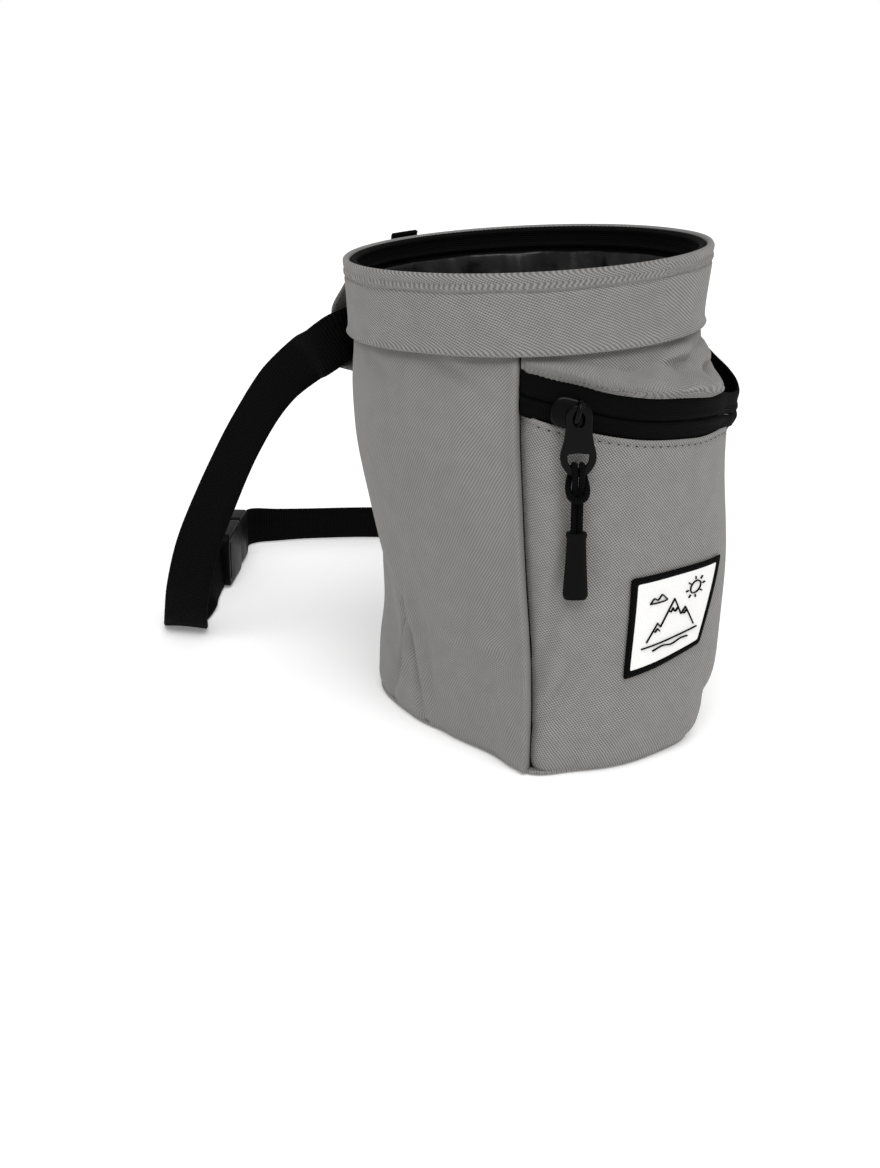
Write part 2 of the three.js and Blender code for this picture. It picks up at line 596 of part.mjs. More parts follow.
function addZipPull() {
  const frame = zipFrame();
  const block = plate(SLIDER_LONG, SLIDER_TALL, SLIDER_THICK, 2.6);
  const body = solidOf(block.translate(0, SLIDER_CLEAR + SLIDER_THICK / 2, 0));
  const legHigh = BRIDGE_HIGH + BRIDGE_BAR;
  const top = SLIDER_CLEAR + SLIDER_THICK;
  const leg = (z) => {
    const post = new THREE.BoxGeometry(BRIDGE_WIDE, legHigh + 0.4, BRIDGE_BAR);
    return solidOf(post.translate(0, top + legHigh / 2 - 0.2, z));
  };
  const beam = new THREE.BoxGeometry(BRIDGE_WIDE, BRIDGE_BAR, BRIDGE_SPAN);
  const bar = solidOf(beam.translate(0, top + BRIDGE_HIGH + BRIDGE_BAR / 2, 0));
  const reach = (BRIDGE_SPAN - BRIDGE_BAR) / 2;
  const slider = body.add(leg(reach)).add(leg(-reach)).add(bar);
  add('zip_slider', geometryFrom(slider), BLACK_PLASTIC, 0.3).applyMatrix4(frame);

  // The tab's upper bar passes under the bridge, between its legs, and the tab hangs down from it.
  const swing = Math.hypot(TAB_BAR, TAB_THICK) / 2 + GAP;
  const pivotUp = -reach + BRIDGE_BAR / 2 + swing;
  const pivotOut = top + BRIDGE_HIGH - swing;
  const pivot = new THREE.Vector3(0, pivotOut, pivotUp).applyMatrix4(frame);
  const out = new THREE.Vector3(0, 1, 0).transformDirection(frame);
  const level = new THREE.Vector3(out.x, out.y, 0).normalize();
  const z = new THREE.Vector3(0, 0, 1).addScaledVector(level, -pullLean(pivot, level)).normalize();
  const x = level.clone().cross(z).normalize();
  const y = z.clone().cross(x).normalize();
  const pull = new THREE.Matrix4().makeBasis(x, y, z).setPosition(pivot);
  const tabTop = TAB_BAR / 2;
  const tabBottom = tabTop - TAB_LONG;
  const hole = { w: TAB_WIDE - 2 * TAB_BAR, r: 1.6 };
  const windows = [
    { x: 0, z: TAB_LONG / 2 - TAB_BAR - TAB_RING / 2, h: TAB_RING, ...hole },
    { x: 0, z: -TAB_LONG / 2 + TAB_BAR + TAB_SLOT / 2, h: TAB_SLOT, ...hole },
  ];
  const tab = plate(TAB_WIDE, TAB_LONG, TAB_THICK, 3.4, windows).translate(0, 0, tabTop - TAB_LONG / 2);
  add('zip_pull_tab', positionsOnly(tab), BLACK_PLASTIC, 0.3).applyMatrix4(pull);
  const barTop = tabBottom + TAB_BAR;
  const clear = TAB_THICK / 2 + CORD_RADIUS + GAP;
  const knot = (x, y, z) => new THREE.Vector3(x, y, z);
  const arm = CORD_LOOP / 2;
  const cord = new THREE.CatmullRomCurve3([
    knot(-CORD_RADIUS - GAP / 2, 0, tabBottom - CORD_DROP),
    knot(-CORD_RADIUS - GAP / 2, 0.2, tabBottom - CORD_DROP * 0.45),
    knot(-arm, clear, tabBottom - 1),
    knot(-arm, clear, barTop),
    knot(-arm, 0, barTop + CORD_RADIUS + GAP),
    knot(-arm, -clear, barTop),
    knot(0, -clear - CORD_RADIUS / 2, tabBottom - 0.5),
    knot(arm, -clear, barTop),
    knot(arm, 0, barTop + CORD_RADIUS + GAP),
    knot(arm, clear, barTop),
    knot(arm, clear, tabBottom - 1),
    knot(CORD_RADIUS + GAP / 2, 0.2, tabBottom - CORD_DROP * 0.45),
    knot(CORD_RADIUS + GAP / 2, 0, tabBottom - CORD_DROP),
  ]);
  const disc = new THREE.Shape(new THREE.Path().absarc(0, 0, CORD_RADIUS, 0, 2 * Math.PI).getPoints(3));
  const route = new THREE.ExtrudeGeometry(disc, { steps: 44, extrudePath: cord, curveSegments: 3 });
  add('zip_pull_cord', positionsOnly(route), BLACK_NYLON, 0.7).applyMatrix4(pull);
  const gripTop = tabBottom - CORD_DROP - GAP;
  const half = (t) => mix(GRIP_TOP, GRIP_BOTTOM, t) / 2;
  const grip = (s, t, grow) => {
    const angle = 2 * Math.PI * s;
    const squash = (v) => Math.sign(v) * Math.abs(v) ** 0.6;
    return new THREE.Vector3(
      squash(Math.cos(angle)) * half(1 - t) * grow,
      squash(Math.sin(angle)) * (GRIP_THICK / 2) * grow,
      gripTop - GRIP_LONG * (1 - t),
    );
  };
  add('zip_pull_grip', lump(14, 4, grip), BLACK_PLASTIC, 0.7).applyMatrix4(pull);
}

// How far the pull leans out for each millimetre that it hangs down, so that it clears the pocket.
function pullLean(pivot, level) {
  const across = new THREE.Vector3(level.y, -level.x, 0);
  const marks = [TAB_LONG, TAB_LONG + CORD_DROP, TAB_LONG + CORD_DROP + GRIP_LONG];
  const leans = marks.map((drop) => {
    let wall = -Infinity;
    for (let i = -8; i <= 8; i += 1) {
      const spot = frontPoint(SLIDER_AT + i / 80, pivot.z - drop).sub(pivot);
      if (Math.abs(spot.dot(across)) < GRIP_BOTTOM / 2 + GAP) wall = Math.max(wall, spot.dot(level));
    }
    return (wall + GRIP_THICK / 2 + PULL_CLEAR) / drop;
  });
  return Math.max(0, ...leans);
}

// A solid lump: rings from its bottom to its top, closed by a fan at each end.
function lump(around, rise, ring) {
  const positions = [];
  const index = [];
  for (let j = 0; j <= rise; j += 1) {
    for (let i = 0; i < around; i += 1) positions.push(...ring(i / around, j / rise, 1).toArray());
  }
  for (let j = 0; j < rise; j += 1) {
    for (let i = 0; i < around; i += 1) {
      const n = (i + 1) % around;
      const [a, b, c, d] = [j * around + i, j * around + n, (j + 1) * around + n, (j + 1) * around + i];
      index.push(a, b, c, a, c, d);
    }
  }
  positions.push(...ring(0, 0, 0).toArray(), ...ring(0, 1, 0).toArray());
  const bottom = (rise + 1) * around;
  for (let i = 0; i < around; i += 1) {
    const n = (i + 1) % around;
    index.push(bottom, n, i, bottom + 1, rise * around + i, rise * around + n);
  }
  return geometryOf(positions, index);
}

// Belt: a flat strap through stations, each with a centre and the direction of its width.
// Where it would sink below the floor it lies on it instead.
function strap(stations, steps) {
  const centres = new THREE.CatmullRomCurve3(stations.map((s) => s.at), false, 'centripetal');
  const widths = new THREE.CatmullRomCurve3(stations.map((s) => s.width), false, 'centripetal');
  const rings = [];
  for (let i = 0; i <= steps; i += 1) {
    const t = i / steps;
    const at = centres.getPoint(t);
    const run = centres.getTangent(t);
    const width = widths.getPoint(t).projectOnPlane(run).normalize();
    const normal = run.clone().cross(width).normalize();
    const corner = (a, b) => at.clone()
      .addScaledVector(width, (a * BELT_WIDE) / 2)
      .addScaledVector(normal, (b * BELT_THICK) / 2);
    const ring = [corner(-1, -1), corner(1, -1), corner(1, 1), corner(-1, 1)];
    const lift = Math.max(0, BELT_REST - Math.min(...ring.map((point) => point.z)));
    ring.forEach((point) => point.setZ(point.z + lift));
    rings.push(ring);
  }
  const ring = (s, t, grow) => {
    const four = rings[Math.round(t * steps)];
    const middle = four[0].clone().add(four[2]).multiplyScalar(0.5);
    return middle.lerp(four[Math.round(s * 4) % 4], grow);
  };
  return lump(4, steps, ring);
}

function beltStation({ side, back, up, lean, face }) {
  const at = new THREE.Vector3(side * BELT_SIDE, back * BELT_BACK, up * BELT_UP);
  const flat = new THREE.Vector3(Math.cos(rad(face)), Math.sin(rad(face)), 0);
  const width = flat.multiplyScalar(Math.sin(rad(lean))).add(new THREE.Vector3(0, 0, -Math.cos(rad(lean))));
  return { at, width };
}

// The tunnel stands further off the bag and hangs lower at its two ends, where the belt pulls it.
const tunnelOut = (bearing) => mix(TUNNEL_OUT, TUNNEL_END_OUT, ((bearing - 180) / TUNNEL_HALF) ** 2);

const tunnelSag = (bearing) => TUNNEL_SAG * ((bearing - 180) / TUNNEL_HALF) ** 2;

function beltInTunnel(fromBearing, toBearing) {
  const rows = [];
  for (let i = 0; i <= 5; i += 1) {
    const bearing = mix(fromBearing, toBearing, i / 5);
    const out = tunnelOut(bearing) - TUNNEL_WALL - BELT_THICK / 2 - BELT_SLACK;
    const at = bagPoint(bearing, BELT_UP - tunnelSag(bearing), out);
    rows.push({ at, width: new THREE.Vector3(0, 0, -1) });
  }
  return rows;
}

function addBelt() {
  const left = [...beltInTunnel(180.4, 180 + TUNNEL_HALF), ...BELT_LEFT_RUN.map(beltStation)];
  const backwards = BELT_RIGHT_RUN.slice().reverse();
  const right = [...beltInTunnel(179.6, 180 - TUNNEL_HALF), ...backwards.map(beltStation)];
  add('belt_left', strap(left, 54), BLACK_WEBBING, 0.85);
  add('belt_right', strap(right, 58), BLACK_WEBBING, 0.85);
}

function addTunnel() {
  const sleeve = (s, t, out) => {
    const bearing = mix(180 - TUNNEL_HALF, 180 + TUNNEL_HALF, s);
    const z = TUNNEL_UP - tunnelSag(bearing) + TUNNEL_TALL * (t - 0.5);
    const bow = read(TUNNEL_BOW, 'up', t, 'out');
    const seat = GAP + COLLAR_THICK + GAP + TUNNEL_WALL;
    return bagPoint(bearing, z, out + mix(seat, tunnelOut(bearing), bow));
  };
  add('belt_tunnel', wall(11, 10, sleeve, TUNNEL_WALL), GREY_CLOTH, 0.9);
}

// Buckle halves lie between the two belt ends, standing on their edge on the floor.
function addBuckle() {
  const start = beltStation(BELT_LEFT_RUN[BELT_LEFT_RUN.length - 1]).at;
  const end = beltStation(BELT_RIGHT_RUN[0]).at;
  const run = end.clone().sub(start);
  const long = run.length() - 2 * GAP;
  run.normalize();
  const upward = new THREE.Vector3(0, 0, 1);
  const side = upward.clone().cross(run).normalize();
  const middle = start.clone().add(end).multiplyScalar(0.5);
  middle.z = BUCKLE_WIDE / 2 + 0.1;
  const frame = new THREE.Matrix4().makeBasis(run, side, upward).setPosition(middle);
  const split = -long / 2 + long * 0.6;
  const half = (from, to, wide) => {
    return plate(to - from, wide, BUCKLE_THICK, 2.5).translate((from + to) / 2, 0, 0);
  };
  const socket = half(-long / 2, split - GAP / 2, BUCKLE_WIDE);
  const plug = half(split + GAP / 2, long / 2, BUCKLE_WIDE * 0.94);
  add('buckle_socket', positionsOnly(socket), BLACK_PLASTIC, 0.45).applyMatrix4(frame);
  add('buckle_plug', positionsOnly(plug), BLACK_PLASTIC, 0.45).applyMatrix4(frame);
}

function addRimTab() {
  const half = THREE.MathUtils.radToDeg(TAB_STRIP_WIDE / 2 / MOUTH_RADIUS);
  const strip = (s, t, out) => {
    const z = mix(BAG_HEIGHT - TAB_STRIP_DROP, BAG_HEIGHT + TAB_STRIP_ABOVE, t);
    return bagPoint(mix(180 - half, 180 + half, s), z, out);
  };
  const face = GAP + COLLAR_THICK + GAP;
  const outside = (s, t, out) => strip(s, t, face + BELT_THICK + out);
  add('rim_tab', wall(4, 2, outside, BELT_THICK), BLACK_WEBBING, 0.85);
}

addBase();
addSidePanel();
addFrontPanels();
addCollar();
addInside();
addPatch();
addZipPull();
addTunnel();
addBelt();
addBuckle();
addRimTab();

export default bag;
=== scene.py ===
"""Dresses a climbing chalk bag: soft cloth shells, webbing belt, zip, pull, buckle and patch."""

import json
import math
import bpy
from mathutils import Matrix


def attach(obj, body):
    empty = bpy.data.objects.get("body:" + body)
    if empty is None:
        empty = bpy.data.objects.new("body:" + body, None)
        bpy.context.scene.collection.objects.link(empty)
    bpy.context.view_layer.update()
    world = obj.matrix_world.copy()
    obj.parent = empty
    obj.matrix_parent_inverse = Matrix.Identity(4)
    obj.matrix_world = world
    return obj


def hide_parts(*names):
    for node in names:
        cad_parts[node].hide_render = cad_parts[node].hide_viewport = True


bl_info = {
    "name": "Chalk Bag Dressing",
    "version": (1, 0, 0),
    "blender": (4, 5, 0),
    "location": "View3D > Sidebar > Chalk Bag",
    "description": "Builds the cloth, webbing, zip and buckle of a climbing chalk bag over its frame",
    "category": "Object",
}

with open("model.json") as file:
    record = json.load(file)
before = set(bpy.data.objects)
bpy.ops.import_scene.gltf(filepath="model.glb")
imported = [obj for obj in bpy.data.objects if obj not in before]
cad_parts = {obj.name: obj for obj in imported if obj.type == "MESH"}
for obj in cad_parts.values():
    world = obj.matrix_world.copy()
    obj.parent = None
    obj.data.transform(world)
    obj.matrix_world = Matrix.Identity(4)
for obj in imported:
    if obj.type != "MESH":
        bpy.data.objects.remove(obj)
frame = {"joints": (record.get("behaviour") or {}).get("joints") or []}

import bpy
import numpy as np
from mathutils import Matrix, Vector

MM = 0.001

# Sizes shared with the frame, in millimetres.
BAG_HEIGHT = 184.0
BASE_HALF_WIDTH = 52.0
BASE_FRONT = 64.0
BASE_BACK = 74.0
MOUTH_RADIUS = 66.7
MOUTH_LEAN = (-2.7, 11.8)
RIM_RISE = 3.4
CLOTH = 1.6
BASE_THICK = 2.0
GAP = 0.3
COLLAR_TALL = 29.0
COLLAR_THICK = 2.0
LIP_INSIDE = -0.5
SEAM_BEARING = 46.0
SEAM_LOW_BEARING = 50.3
SEAM_FLARE = 8.0
RIGHT_FLARE = 3.0
POCKET_BULGE = 13.0
ZIP_END_UP = 141.5
ZIP_DIP = 18.5
ZIP_TAPE_ABOVE = 8.6
ZIP_TAPE_BELOW = 6.4
FACING_TALL = 20.0
LINING = 1.0
SKIRT_DROP = 9.0
SKIRT_TALL = 34.0
SKIRT_FOLDS = 13
BELT_WIDE = 20.0
BELT_THICK = 1.5
BELT_UP = 151.5
BELT_SLACK = 1.5
BELT_SIDE = 122.0
BELT_BACK = 262.0
BELT_REST = 0.1
TUNNEL_HALF = 25.0
TUNNEL_TALL = 37.0
TUNNEL_OUT = 10.0
TUNNEL_END_OUT = 16.5
TUNNEL_SAG = 4.5
TUNNEL_WALL = 1.3
TUNNEL_UP = 155.0
PATCH_WIDE = 42.0
PATCH_TALL = 38.0
PATCH_BEARING = -1.9
PATCH_UP = 0.313 * BAG_HEIGHT
# Low left, low right, high right, high left: across and up.
PATCH_CORNERS = [(-1.086, -1.042), (0.617, -0.742), (1.3, 0.865), (-0.881, 0.926)]
PATCH_BORDER = 3.0

WALL_BOTTOM = BASE_THICK + GAP
WALL_TOP = BAG_HEIGHT - 2.6
COLLAR_BOTTOM = BAG_HEIGHT - COLLAR_TALL

# One row for each section of the bag: up, side, front, back, lean, square.
SECTIONS = np.array([
    (0.00, 0.00, 0.0, 0.00, 0.00, 2.80),
    (0.10, 0.14, 0.7, 0.25, 0.05, 2.80),
    (0.20, 0.24, 1.0, 0.60, 0.14, 2.70),
    (0.35, 0.42, 1.0, 0.95, 0.30, 2.60),
    (0.55, 0.72, 0.9, 1.00, 0.65, 2.35),
    (0.70, 0.93, 0.9, 1.00, 0.92, 2.12),
    (0.84, 0.91, 0.6, 1.10, 1.00, 2.00),
    (1.00, 1.05, 1.4, 0.88, 1.00, 2.00),
])
# Soft dents: bearing, up, deep, wide, tall, slant.
DENTS = [
    (-120, 0.15, 2.2, 9, 0.11, -60),
    (-137, 0.21, 3.4, 15, 0.10, 0),
    (46, 0.06, 3.2, 19, 0.17, 0),
    (28, 0.015, 3.4, 10, 0.06, 0),
    (-103, 0.20, 1.7, 7, 0.12, 30),
    (-75, 0.78, 1.0, 12, 0.10, 20),
    (-140, 0.42, 2.0, 14, 0.14, 30),
    (120, 0.30, 2.2, 13, 0.16, -40),
    (165, 0.50, 1.8, 16, 0.12, 0),
    (80, 0.55, 1.5, 10, 0.20, 20),
]
BULGE_ALONG = np.array([
    (0.0, 0.0), (0.08, 0.2), (0.3, 0.55), (0.6, 0.85), (0.85, 1.0), (0.95, 0.7), (1.0, 0.0),
])
BULGE_UP = np.array([
    (0.0, 0.02), (0.0594, 0.18), (0.1662, 0.3), (0.4155, 0.4), (0.6529, 0.5), (0.8072, 0.76),
    (0.8666, 0.95), (0.9259, 0.7), (0.9615, 0.34), (0.9948, 0.0), (1.187, 0.0),
])
ZIP_LINE = np.array([
    (0.0, 0.0), (0.12, 0.19), (0.36, 0.57), (0.57, 0.76), (0.74, 0.88), (0.88, 1.0), (0.95, 0.75),
    (1.0, 0.25),
])
TUNNEL_BOW = np.array([(0.0, 0.0), (0.04, 0.8), (0.1, 1.0), (0.7, 1.0), (0.82, 0.6), (1.0, 0.0)])
TUNNEL_END_BOW = np.array([(0.0, 0.0), (0.04, 0.75), (0.1, 1.0), (0.58, 1.0), (0.8, 0.55), (1.0, 0.0)])
SEAMS = np.array([(0.0, 1.0), (0.2, 0.65), (0.41, 0.65), (0.8, 0.07), (1.0, 0.0)])


def read(table, at, column=1):
    """Reads one column of a table on a smooth curve through its rows."""
    keys, values = table[:, 0], table[:, column]
    at = np.clip(np.asarray(at, float), keys[0], keys[-1])
    i = np.clip(np.searchsorted(keys, at, side="left") - 1, 0, len(keys) - 2)
    last = len(keys) - 1
    low, high = np.maximum(i - 1, 0), np.minimum(i + 2, last)
    span = keys[i + 1] - keys[i]
    t = (at - keys[i]) / span
    before = (values[i + 1] - values[low]) / (keys[i + 1] - keys[low]) * span
    after = (values[high] - values[i]) / (keys[high] - keys[i]) * span
    cubic = (2 * t**3 - 3 * t**2 + 1) * values[i] + (t**3 - 2 * t**2 + t) * before
    return cubic + (3 * t**2 - 2 * t**3) * values[i + 1] + (t**3 - t**2) * after


def mix(a, b, t):
    return a + (b - a) * t


def wrap(bearing):
    return (np.asarray(bearing, float) + 180.0) % 360.0 - 180.0


def seam_right(z):
    return mix(SEAM_BEARING, SEAM_LOW_BEARING, read(SEAMS, z / BAG_HEIGHT))


def seam_left(z):
    return -seam_right(z)


def dent_depth(bearing, up):
    total = np.zeros(np.broadcast(bearing, up).shape)
    for place, height, deep, wide, tall, slant in DENTS:
        u = wrap(bearing - place) / wide
        v = (up - height) / tall
        angle = math.radians(slant)
        across = u * math.cos(angle) + v * math.sin(angle)
        along = v * math.cos(angle) - u * math.sin(angle)
        total = total + deep * CLOTH * np.exp(-across**2 - 0.35 * along**2)
    return total


def flare(bearing, z):
    low = np.maximum(0, 1 - z / (0.62 * BAG_HEIGHT))
    left = np.exp(-(((bearing - seam_left(z)) / 11) ** 2))
    right = np.exp(-(((bearing - seam_right(z)) / 11) ** 2))
    return low * (SEAM_FLARE * left + RIGHT_FLARE * right)


def bag_point(bearing, z, out=0.0):
    """Points of the bag's outer face, in millimetres: an array of bearings, heights and distances out."""
    bearing, z, out = np.broadcast_arrays(*(np.asarray(v, float) for v in (bearing, z, out)))
    up = np.clip(z / BAG_HEIGHT, 0, 1)
    turn = wrap(bearing)
    angle = np.radians(turn)
    side = mix(BASE_HALF_WIDTH, MOUTH_RADIUS, read(SECTIONS, up, 1))
    front = mix(BASE_FRONT, MOUTH_RADIUS, read(SECTIONS, up, 2))
    back = mix(BASE_BACK, MOUTH_RADIUS, read(SECTIONS, up, 3))
    depth = np.where(np.cos(angle) > 0, front, back)
    square = read(SECTIONS, up, 5)
    total = np.abs(np.sin(angle) / side) ** square + np.abs(np.cos(angle) / depth) ** square
    reach = total ** (-1 / square) + flare(turn, z) - dent_depth(turn, up) + out
    tilt = RIM_RISE * up * up * (reach / MOUTH_RADIUS) * np.sin(angle + math.radians(42))
    lean = read(SECTIONS, up, 4)
    return np.stack([
        MOUTH_LEAN[0] * lean + reach * np.sin(angle),
        MOUTH_LEAN[1] * lean - reach * np.cos(angle),
        z + tilt,
    ], -1)


def bulge(along, z):
    return POCKET_BULGE * read(BULGE_ALONG, along) * np.maximum(0, read(BULGE_UP, z / COLLAR_BOTTOM))


def front_point(along, z, out=0.0):
    """Points of the front between the seams, with the pocket's bulge."""
    along, z, out = np.broadcast_arrays(*(np.asarray(v, float) for v in (along, z, out)))
    return bag_point(mix(seam_left(z), seam_right(z), along), z, out + bulge(along, z))


def zip_height(along):
    return ZIP_END_UP - ZIP_DIP * read(ZIP_LINE, along)


# Millimetres of cloth in one degree round the bag, and in the front panels from seam to seam.
ARC = 1.16
POCKET_SPAN = 110


def bell(x, middle, width):
    """One at middle, falling smoothly to nothing on both sides."""
    return np.exp(-(((x - middle) / width) ** 2))


def slanted_bell(u, v, wide, tall, slant):
    """One in the middle, falling smoothly to nothing over an oval turned by slant degrees."""
    angle = math.radians(slant)
    across = u * math.cos(angle) + v * math.sin(angle)
    along = v * math.cos(angle) - u * math.sin(angle)
    return np.exp(-((across / wide) ** 2) - (along / tall) ** 2)


def smooth_step(start, end, at):
    t = np.clip((at - start) / (end - start), 0, 1)
    return t * t * (3 - 2 * t)


def tape_above(along):
    return ZIP_TAPE_ABOVE - 1.2 * smooth_step(0.55, 0.8, along)


def tape_below(along):
    return ZIP_TAPE_BELOW - 2.4 * smooth_step(0.6, 0.86, along)


def humps(position, places):
    """Soft ridges at places along a line: each has a centre, a half-width and a height."""
    return sum(height * bell(position, centre, half) for centre, half, height in places)


def ripple(u, v, size, seed, height=1.0):
    """Slow, unrepeating waves over a cloth, the same each run."""
    rng = np.random.default_rng(seed)
    total = np.zeros(np.broadcast(u, v).shape)
    for _ in range(9):
        angle = rng.uniform(0, math.pi)
        scale = rng.uniform(0.6, 1.7) / size
        phase = rng.uniform(0, 2 * math.pi)
        total = total + np.sin(2 * math.pi * scale * (u * math.cos(angle) + v * math.sin(angle)) + phase)
    return height * total / 4.5


# Mesh making --------------------------------------------------------------------------------------


def new_object(name, vertices, faces, uvs=None, smooth=True):
    """Makes a mesh object from points in millimetres; uvs are in millimetres too, one for each vertex."""
    mesh = bpy.data.meshes.new(name)
    mesh.from_pydata([tuple(v) for v in np.asarray(vertices) * MM], [], [tuple(f) for f in faces])
    if uvs is not None:
        layer = mesh.uv_layers.new(name="Cloth")
        corner = np.empty(len(mesh.loops), dtype=np.int32)
        mesh.loops.foreach_get("vertex_index", corner)
        layer.data.foreach_set("uv", (np.asarray(uvs)[corner] * MM).ravel())
    mesh.polygons.foreach_set("use_smooth", [smooth] * len(mesh.polygons))
    mesh.update()
    obj = bpy.data.objects.new(name, mesh)
    bpy.context.scene.collection.objects.link(obj)
    return obj


def arc_uv(points):
    """Distances along both directions of a grid of points, as cloth coordinates."""
    across = np.linalg.norm(np.diff(points, axis=0), axis=-1)
    up = np.linalg.norm(np.diff(points, axis=1), axis=-1)
    u = np.concatenate([np.zeros((1, points.shape[1])), np.cumsum(across, axis=0)])
    u = u - u[u.shape[0] // 2]
    v = np.concatenate([np.zeros((points.shape[0], 1)), np.cumsum(up, axis=1)], axis=1)
    v = v - v[:, -1:] + v.mean(axis=0)[-1]
    return np.stack([u, v], -1)


def grid_faces(columns, rows, closed):
    faces = []
    for i in range(columns if closed else columns - 1):
        n = (i + 1) % columns
        for j in range(rows - 1):
            faces.append((i * rows + j, n * rows + j, n * rows + j + 1, i * rows + j + 1))
    return faces


def cloth_shell(name, points, thick, closed=False, uvs=None):
    """A cloth wall: its outer face from a grid of points, made thick inwards."""
    columns, rows = points.shape[:2]
    if uvs is None:
        uvs = arc_uv(points)
    if closed:
        ring = np.concatenate([points, points[:1]])
        uvs = arc_uv(ring)[:-1]
    obj = new_object(name, points.reshape(-1, 3), grid_faces(columns, rows, closed), uvs.reshape(-1, 2))
    if closed:
        fix_wrap_uv(obj, columns, rows, arc_uv(ring)[-1])
    apply_modifier(obj, "SOLIDIFY", thickness=thick * MM, offset=-1.0, use_even_offset=False)
    return obj


def fix_wrap_uv(obj, columns, rows, last):
    """Gives the faces that close a ring the coordinates of its end and not of its start."""
    mesh = obj.data
    layer = mesh.uv_layers[0].data
    for face in mesh.polygons[(columns - 1) * (rows - 1):]:
        for loop in face.loop_indices:
            vertex = mesh.loops[loop].vertex_index
            if vertex < rows:
                layer[loop].uv = last[vertex] * MM


def select_only(obj):
    bpy.ops.object.select_all(action="DESELECT")
    obj.select_set(True)
    bpy.context.view_layer.objects.active = obj


def face_outwards(obj):
    select_only(obj)
    bpy.ops.object.mode_set(mode="EDIT")
    bpy.ops.mesh.select_all(action="SELECT")
    bpy.ops.mesh.normals_make_consistent(inside=False)
    bpy.ops.object.mode_set(mode="OBJECT")


def apply_modifier(obj, kind, **settings):
    select_only(obj)
    modifier = obj.modifiers.new(kind.title(), kind)
    for key, value in settings.items():
        setattr(modifier, key, value)
    bpy.ops.object.modifier_apply(modifier=modifier.name)


def profile_band(name, steps, loop, shape=None):
    """A solid ring of cloth: a closed profile of (out, z) points swept round the bag."""
    bearing = np.arange(steps) * 360.0 / steps
    out = np.array([p[0] for p in loop])
    z = np.array([p[1] for p in loop])
    b, o = np.meshgrid(bearing, out, indexing="ij")
    _, h = np.meshgrid(bearing, z, indexing="ij")
    if shape is not None:
        o, h = shape(b, o, h)
    points = bag_point(b, h, o)
    count = len(loop)
    ring = np.concatenate([points, points[:1]])
    ring = np.concatenate([ring, ring[:, :1]], axis=1)
    uv = arc_uv(ring)
    faces, face_uv = [], []
    for i in range(steps):
        n = (i + 1) % steps
        for k in range(count):
            m = (k + 1) % count
            faces.append((i * count + k, n * count + k, n * count + m, i * count + m))
            face_uv.extend([uv[i, k], uv[i + 1, k], uv[i + 1, k + 1], uv[i, k + 1]])
    obj = new_object(name, points.reshape(-1, 3), faces)
    layer = obj.data.uv_layers.new(name="Cloth")
    layer.data.foreach_set("uv", (np.array(face_uv) * MM).ravel())
    return obj


def ring_faces(rings, sides):
    """Faces between rings of points that follow each other, closed with a face at each end."""
    faces = []
    for k in range(rings - 1):
        for s in range(sides):
            n = (s + 1) % sides
            faces.append((k * sides + s, k * sides + n, (k + 1) * sides + n, (k + 1) * sides + s))
    faces.append(tuple(reversed(range(sides))))
    faces.append(tuple(range((rings - 1) * sides, rings * sides)))
    return faces


def tube(name, path, radius, sides=10, flat=1.0):
    """A round or flattened cord along points in millimetres, with its length and girth as coordinates."""
    path = np.asarray(path, float)
    tangent = np.gradient(path, axis=0)
    tangent /= np.linalg.norm(tangent, axis=1)[:, None] + 1e-9
    n = np.array([0.0, 0.0, 1.0]) if abs(tangent[0][2]) < 0.9 else np.array([1.0, 0.0, 0.0])
    normals = []
    for t in tangent:
        n = n - t * np.dot(n, t)
        n /= np.linalg.norm(n) + 1e-9
        normals.append(n.copy())
    normals = np.array(normals)
    side = np.cross(tangent, normals)
    radii = np.broadcast_to(radius, (len(path),))
    vertices, uvs = [], []
    length = np.concatenate([[0], np.cumsum(np.linalg.norm(np.diff(path, axis=0), axis=1))])
    for k, point in enumerate(path):
        for s in range(sides):
            a = 2 * math.pi * s / sides
            vertices.append(point + radii[k] * (math.cos(a) * side[k] + flat * math.sin(a) * normals[k]))
            uvs.append((radii[k] * a, length[k]))
    return new_object(name, vertices, ring_faces(len(path), sides), uvs)


def join(name, objects):
    select_only(objects[0])
    for obj in objects:
        obj.select_set(True)
    bpy.ops.object.join()
    joined = bpy.context.view_layer.objects.active
    joined.name = name
    joined.data.name = name
    return joined


# Materials ----------------------------------------------------------------------------------------


def linear(hex_colour):
    """Turns an sRGB hex colour to linear."""
    values = [int(hex_colour[i:i + 2], 16) / 255 for i in (1, 3, 5)]
    return [v / 12.92 if v <= 0.04045 else ((v + 0.055) / 1.055) ** 2.4 for v in values] + [1.0]


def add_node(tree, kind, settings=None, links=None):
    """Adds a node with its settings and inputs: each input gets a value or an (other node, output) pair."""
    node = tree.nodes.new(kind)
    for key, value in (settings or {}).items():
        setattr(node, key, value)
    for key, source in (links or {}).items():
        socket = node.inputs[key]
        if isinstance(source, tuple) and hasattr(source[0], "outputs"):
            tree.links.new(source[0].outputs[source[1]], socket)
        else:
            socket.default_value = source
    return node


def math_node(tree, operation, *values):
    return add_node(tree, "ShaderNodeMath", {"operation": operation}, dict(enumerate(values)))


def noise(tree, source, scale, detail, distortion=0.0):
    links = {"Vector": source, "Scale": scale, "Detail": detail, "Distortion": distortion}
    return add_node(tree, "ShaderNodeTexNoise", links=links)


def map_range(tree, value, low, high, to_low=0.0, to_high=1.0):
    links = {"Value": value, "From Min": low, "From Max": high, "To Min": to_low, "To Max": to_high}
    return add_node(tree, "ShaderNodeMapRange", links=links)


